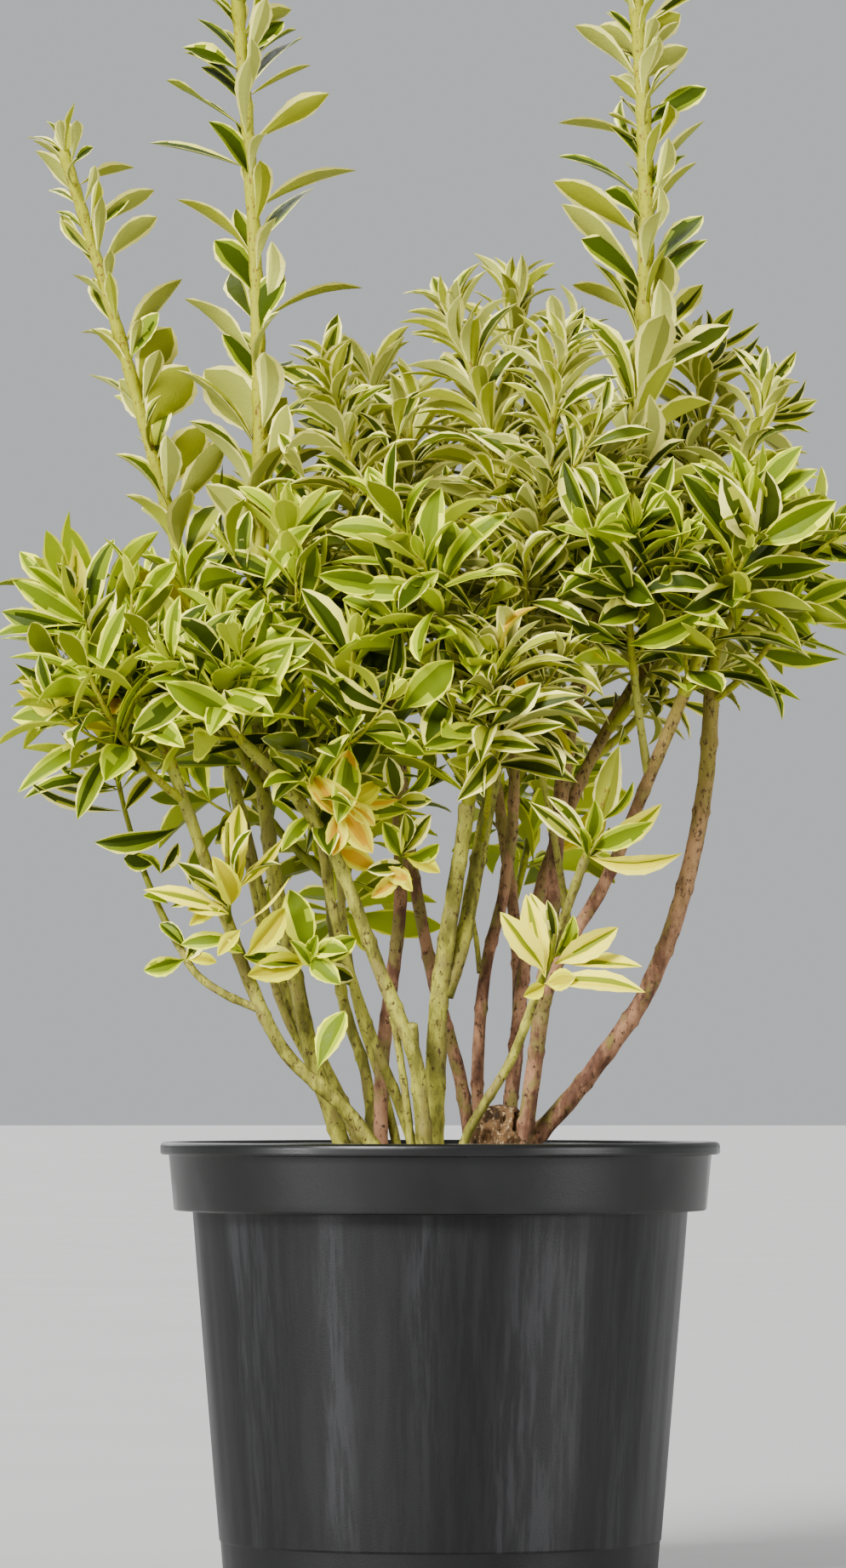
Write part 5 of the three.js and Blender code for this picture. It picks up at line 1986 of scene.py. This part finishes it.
@dataclass
class Foliage:
    """The shoots' stems, side twigs and leaves, which stand for the foliage masses.

    Swells and ribs are shares of a stem's radius. Of a shoot's leaves the share strays takes the neighbouring
    colouring, and of those past tip_from of the way up the share young is the paler one of the two. Leaves
    below old_below, in millimetres, are gold or peach when their chance from 0 to 1 passes theirs. The share
    green_under of all leaves has a greener underside, and the chances paler and darker recolour streaks.
    """

    rule: Rule = field(default_factory=Rule)
    blade: Blade = field(default_factory=Blade)
    stem_sides: int = 10
    stem_rings: int = 90
    stem_tip: float = 0.5
    tall_tip: float = 0.72
    swell: float = 0.16
    swell_most: float = 0.24
    swell_reach: float = 2.2
    rib: float = 0.05
    strays: float = 0.28
    tall_strays: float = 0.5
    tip_from: float = 0.8
    young: float = 0.45
    old_below: float = 390
    gold: float = 0.975
    peach: float = 0.993
    green_under: float = 0.38
    paler: float = 0.12
    darker: float = 0.84
    streak_jitter: float = 0.1
    crease: float = 42
    leaves: list[Leaves] = field(default_factory=list)
    stems: Bundle = field(default_factory=Bundle)

    def stem(self, path: Array, thick: float, tip: float, joints: Array) -> None:
        """Adds a shoot's stem, swollen a little under each pair of leaves.

        Args:
            path: its evenly spaced points.
            thick: its thickness at the foot.
            tip: its thickness at the tip as a share of that.
            joints: the shares along it where pairs stand.
        """
        line = even_points(path, self.stem_rings)
        share = np.linspace(0, 1, self.stem_rings)
        away = (share[:, None] - joints) * length_of(line)
        swell = self.swell * np.exp(-((away / self.swell_reach) ** 2)).sum(1)
        radius = thick / 2 * mix(1, tip, share) * (1 + np.minimum(swell, self.swell_most))
        radii = radius[:, None] * (1 + self.rib * np.cos(4 * round_angles(self.stem_sides)))
        self.stems.add(limb_points(line[None], radii[None]), skin_faces(self.stem_rings, self.stem_sides))

    def grow(self, number: int, shoot: Shoot, boughs: dict[str, Bough]) -> None:
        """Grows one shoot: its stem, its pairs of leaves, and its side twigs with theirs.

        Args:
            number: the shoot's number.
            shoot: its row.
            boughs: the boughs by name.
        """
        dice = np.random.default_rng(SHOOT_SEED + number)
        rule, path, kind = self.rule, shoot.path(boughs), shoot.kind()
        pairs = round(shoot.pairs * kind.value.closer)
        main = rule.pairs_along(path, number, kind.value, shoot.leaf, pairs, dice, shoot.turn, shoot.bare)
        tip = self.tall_tip if kind is Kind.LONE else self.stem_tip
        self.stem(path, shoot.stem, tip, mix(shoot.bare, 1, np.unique(main.share)))
        profile = PROFILES.get(shoot.name)
        seen = []
        if profile:
            main, seen = profile.spared(main), [profile.leaves_of(number, path, dice)]
        sprays = [spray for spray in SPRAYS if spray.shoot == shoot.name]
        own = [] if any(spray.alone for spray in sprays) else [main]
        twiggy = kind in (Kind.BUSHY, Kind.BRUSH) and shoot.bare < rule.twigs_below
        count = shoot.twigs + rule.twigs_more if twiggy else 0
        twigs = rule.side_twigs(path, count, dice, shoot.bare)
        for twig in twigs:
            line, longest = even_points(twig, rule.twig_points), shoot.leaf * rule.twig_leaf
            own.append(rule.pairs_along(line, number, kind.value, longest, rule.twig_pairs, dice))
        if count:
            share = np.linspace(1, self.stem_tip, rule.twig_rings)[None, :, None]
            grid = (rule.twig_rings, rule.twig_sides)
            radii = np.full((count, *grid), shoot.stem * rule.twig_stem / 2) * share
            self.stems.add(limb_points(twigs, radii), skin_faces(*grid))
        if own:
            own = [Leaves.joined(own)]
            own[0].mood = self.moods(shoot, own[0], dice)
        self.leaves.append(Leaves.joined([*own, *seen, *(spray.leaves_of(number, dice) for spray in sprays)]))

    def moods(self, shoot: Shoot, leaves: Leaves, dice: Dice) -> Array:
        """Deals a colouring to each leaf of a spray.

        Most have their shoot's own. Near the tip some are paler, and now and then a low, old one is gold or
        peach.

        Args:
            shoot: the shoot's row.
            leaves: its leaves.
            dice: the random stream.

        Returns:
            The number of each leaf's mood.
        """
        own = MOODS.index(shoot.mood)
        chance = dice.uniform(0, 1, len(leaves.share))
        if shoot.region == "tall":
            return np.where(chance < self.tall_strays, MOODS.index(SAGE), own)
        paler = OLIVE if shoot.mood in (OLIVE, SAGE) else LIME
        low = leaves.foot[:, 2] < self.old_below
        found = np.full(len(chance), own)
        found[chance < self.strays] = MOODS.index(NEIGHBOURS[shoot.mood])
        if shoot.mood is not CREAM:
            found[(leaves.share > self.tip_from) & (chance > 1 - self.young)] = MOODS.index(paler)
        found[low & (chance > self.gold)] = MOODS.index(GOLD)
        found[low & (chance > self.peach)] = MOODS.index(PEACH)
        return found

    def toned(self, leaves: Leaves, dice: Dice) -> list[tuple[Array, Array]]:
        """Gives every face of every leaf its material.

        Now and then a streak of the feathered zone is paler or darker, or one of the centre paler.

        Args:
            leaves: the leaves.
            dice: the random stream.

        Returns:
            For each number of corners, the faces and their (leaves, faces) tones.
        """
        count = len(leaves.length)
        greener = dice.uniform(0, 1, count) < self.green_under
        streaks = dice.uniform(0, 1, (count, STRIPS))
        groups = []
        for shape, parts, strips in self.blade.faces():
            tone = np.tile(parts, (count, 1))
            stray = dice.uniform(-self.streak_jitter, self.streak_jitter, tone.shape)
            chance = streaks[:, strips] + stray
            tone = np.where((parts == FEATHER) & (chance < self.paler), MARGIN, tone)
            tone = np.where((parts == FEATHER) & (chance > self.darker), CENTRE, tone)
            tone = np.where((parts == CENTRE) & (chance < self.paler), FEATHER, tone)
            tone = np.where((parts == UNDER) & greener[:, None], FEATHER, tone)
            groups.append((shape, leaves.mood[:, None] * PARTS + tone))
        return groups

    def build(self) -> list[Piece]:
        """Makes the stems and one piece of leaves for each region.

        Returns:
            The pieces.
        """
        boughs = {bough.name: bough for bough in BOUGHS}
        for number, shoot in enumerate(SHOOTS):
            self.grow(number, shoot, boughs)
        paths = [(bough, bough.path(4)) for bough in BOUGHS]
        limbs = np.concatenate([path for _, path in paths])
        thick = np.concatenate([mix(*bough.radii, np.linspace(0, 1, len(path))) for bough, path in paths])
        boxes = np.array([[list(corner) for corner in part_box(shoot.name)] for shoot in SHOOTS]) / MM
        palette = [material for mood in MOODS for material in mood.value.materials(mood.name.lower())]
        pieces = []
        for region in dict.fromkeys(shoot.region for shoot in SHOOTS):
            inside = [leaves for leaves, shoot in zip(self.leaves, SHOOTS) if shoot.region == region]
            leaves = self.rule.settled(Leaves.joined(inside), limbs, thick, boxes[:, 0], boxes[:, 1])
            dice = np.random.default_rng(LEAF_SEED + len(pieces))
            groups = self.toned(leaves, dice)
            bundle = Bundle()
            bundle.add(self.blade.points(leaves, dice), groups)
            piece = bundle.piece(f"leaves_{region}", palette, self.crease)
            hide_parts(*(shoot.name for shoot in SHOOTS if shoot.region == region))
            log.info("%s: %d leaves", piece.name, len(leaves.length))
            pieces.append(piece)
        return [*pieces, self.stems.piece("young_stems", [YOUNG_BARK.material("young_bark")])]


# The studio

@dataclass
class Studio:
    """A plain pale floor, soft light and the photograph's camera, in metres."""

    eye: Point = (-0.0069, -3.0, 0.203)
    target: Point = (-0.0069, 0.0, 0.322)
    frame_height: float = 0.632
    lamps_aim: Point = (0, 0, 0.32)
    surround: float = 0.7
    floor_radius: float = 30.0
    floor_sides: int = 96
    floor_drop: float = 1e-4

    def floor(self) -> None:
        """A wide pale disc just under the pot."""
        angle = round_angles(self.floor_sides)
        drop = np.full(self.floor_sides, -self.floor_drop / self.floor_radius)
        ring = np.stack([np.cos(angle), np.sin(angle), drop], 1) * self.floor_radius
        mesh = bpy.data.meshes.new("floor")
        mesh.from_pydata(ring.tolist(), [], [list(range(self.floor_sides))])
        recipe = Recipe("pale_floor")
        gloss = recipe.ramp(recipe.noise(3), 0.3, 0.7, (0.6, 0.75))
        mesh.materials.append(recipe.finish(paint(176, 176, 174), gloss))
        placed("floor", mesh)

    def light(self, name: str, place: Point, spread: float, power: float) -> None:
        """Adds a broad light, as a large far lamp behind cloth gives.

        Args:
            name: the light's name.
            place: where it shines from, in metres.
            spread: how wide the lamp looks, in degrees.
            power: its power in watts for each square metre.
        """
        data = bpy.data.lights.new(name, "SUN")
        data.angle, data.energy = math.radians(spread), power
        aimed(name, data, place, self.lamps_aim)

    def build(self) -> None:
        """Makes the floor, the lights, the surround and the camera."""
        self.floor()
        self.light("key_light", (-1.6, -2.3, 2.2), 22, 7.4)
        self.light("left_lamp", (-2.8, -1.6, 0.5), 24, 1.6)
        self.light("right_lamp", (2.8, -1.7, 0.6), 24, 1.8)
        self.light("back_light", (-0.9, 2.2, 1.8), 50, 1.3)
        world = bpy.data.worlds.new("studio")
        world.use_nodes = True
        background = world.node_tree.nodes["Background"]
        background.inputs["Color"].default_value = paint(226, 228, 230)
        background.inputs["Strength"].default_value = self.surround
        bpy.context.scene.world = world
        lens = bpy.data.cameras.new("camera")
        away = math.dist(self.eye, self.target)
        lens.lens = lens.sensor_width / 2 / (self.frame_height / 2 / away)
        bpy.context.scene.camera = aimed("camera", lens, self.eye, self.target)


def report(piece: Piece) -> None:
    """Lets a piece ride with the plant and logs its size.

    Args:
        piece: the finished piece.
    """
    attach(piece, "root")
    piece.data.calc_loop_triangles()
    log.info("%s: %d triangles", piece.name, len(piece.data.loop_triangles))


def main() -> None:
    """Builds the studio, the pot, the compost, the limbs and the foliage."""
    logging.basicConfig(level=logging.INFO, format="%(name)s %(message)s")
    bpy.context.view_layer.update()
    Studio().build()
    pot = Pot().build()
    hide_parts("pot")
    report(pot)
    fill = Compost().build()
    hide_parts("compost")
    report(fill)
    crown, brown, green = Limbs().build()
    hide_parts("root_crown")
    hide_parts(*BROWN_BOUGHS)
    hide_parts(*(bough.name for bough in BOUGHS if bough.name not in BROWN_BOUGHS))
    report(crown)
    report(brown)
    report(green)
    for piece in Foliage().build():
        report(piece)
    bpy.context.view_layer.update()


if __name__ == "__main__":
    main()
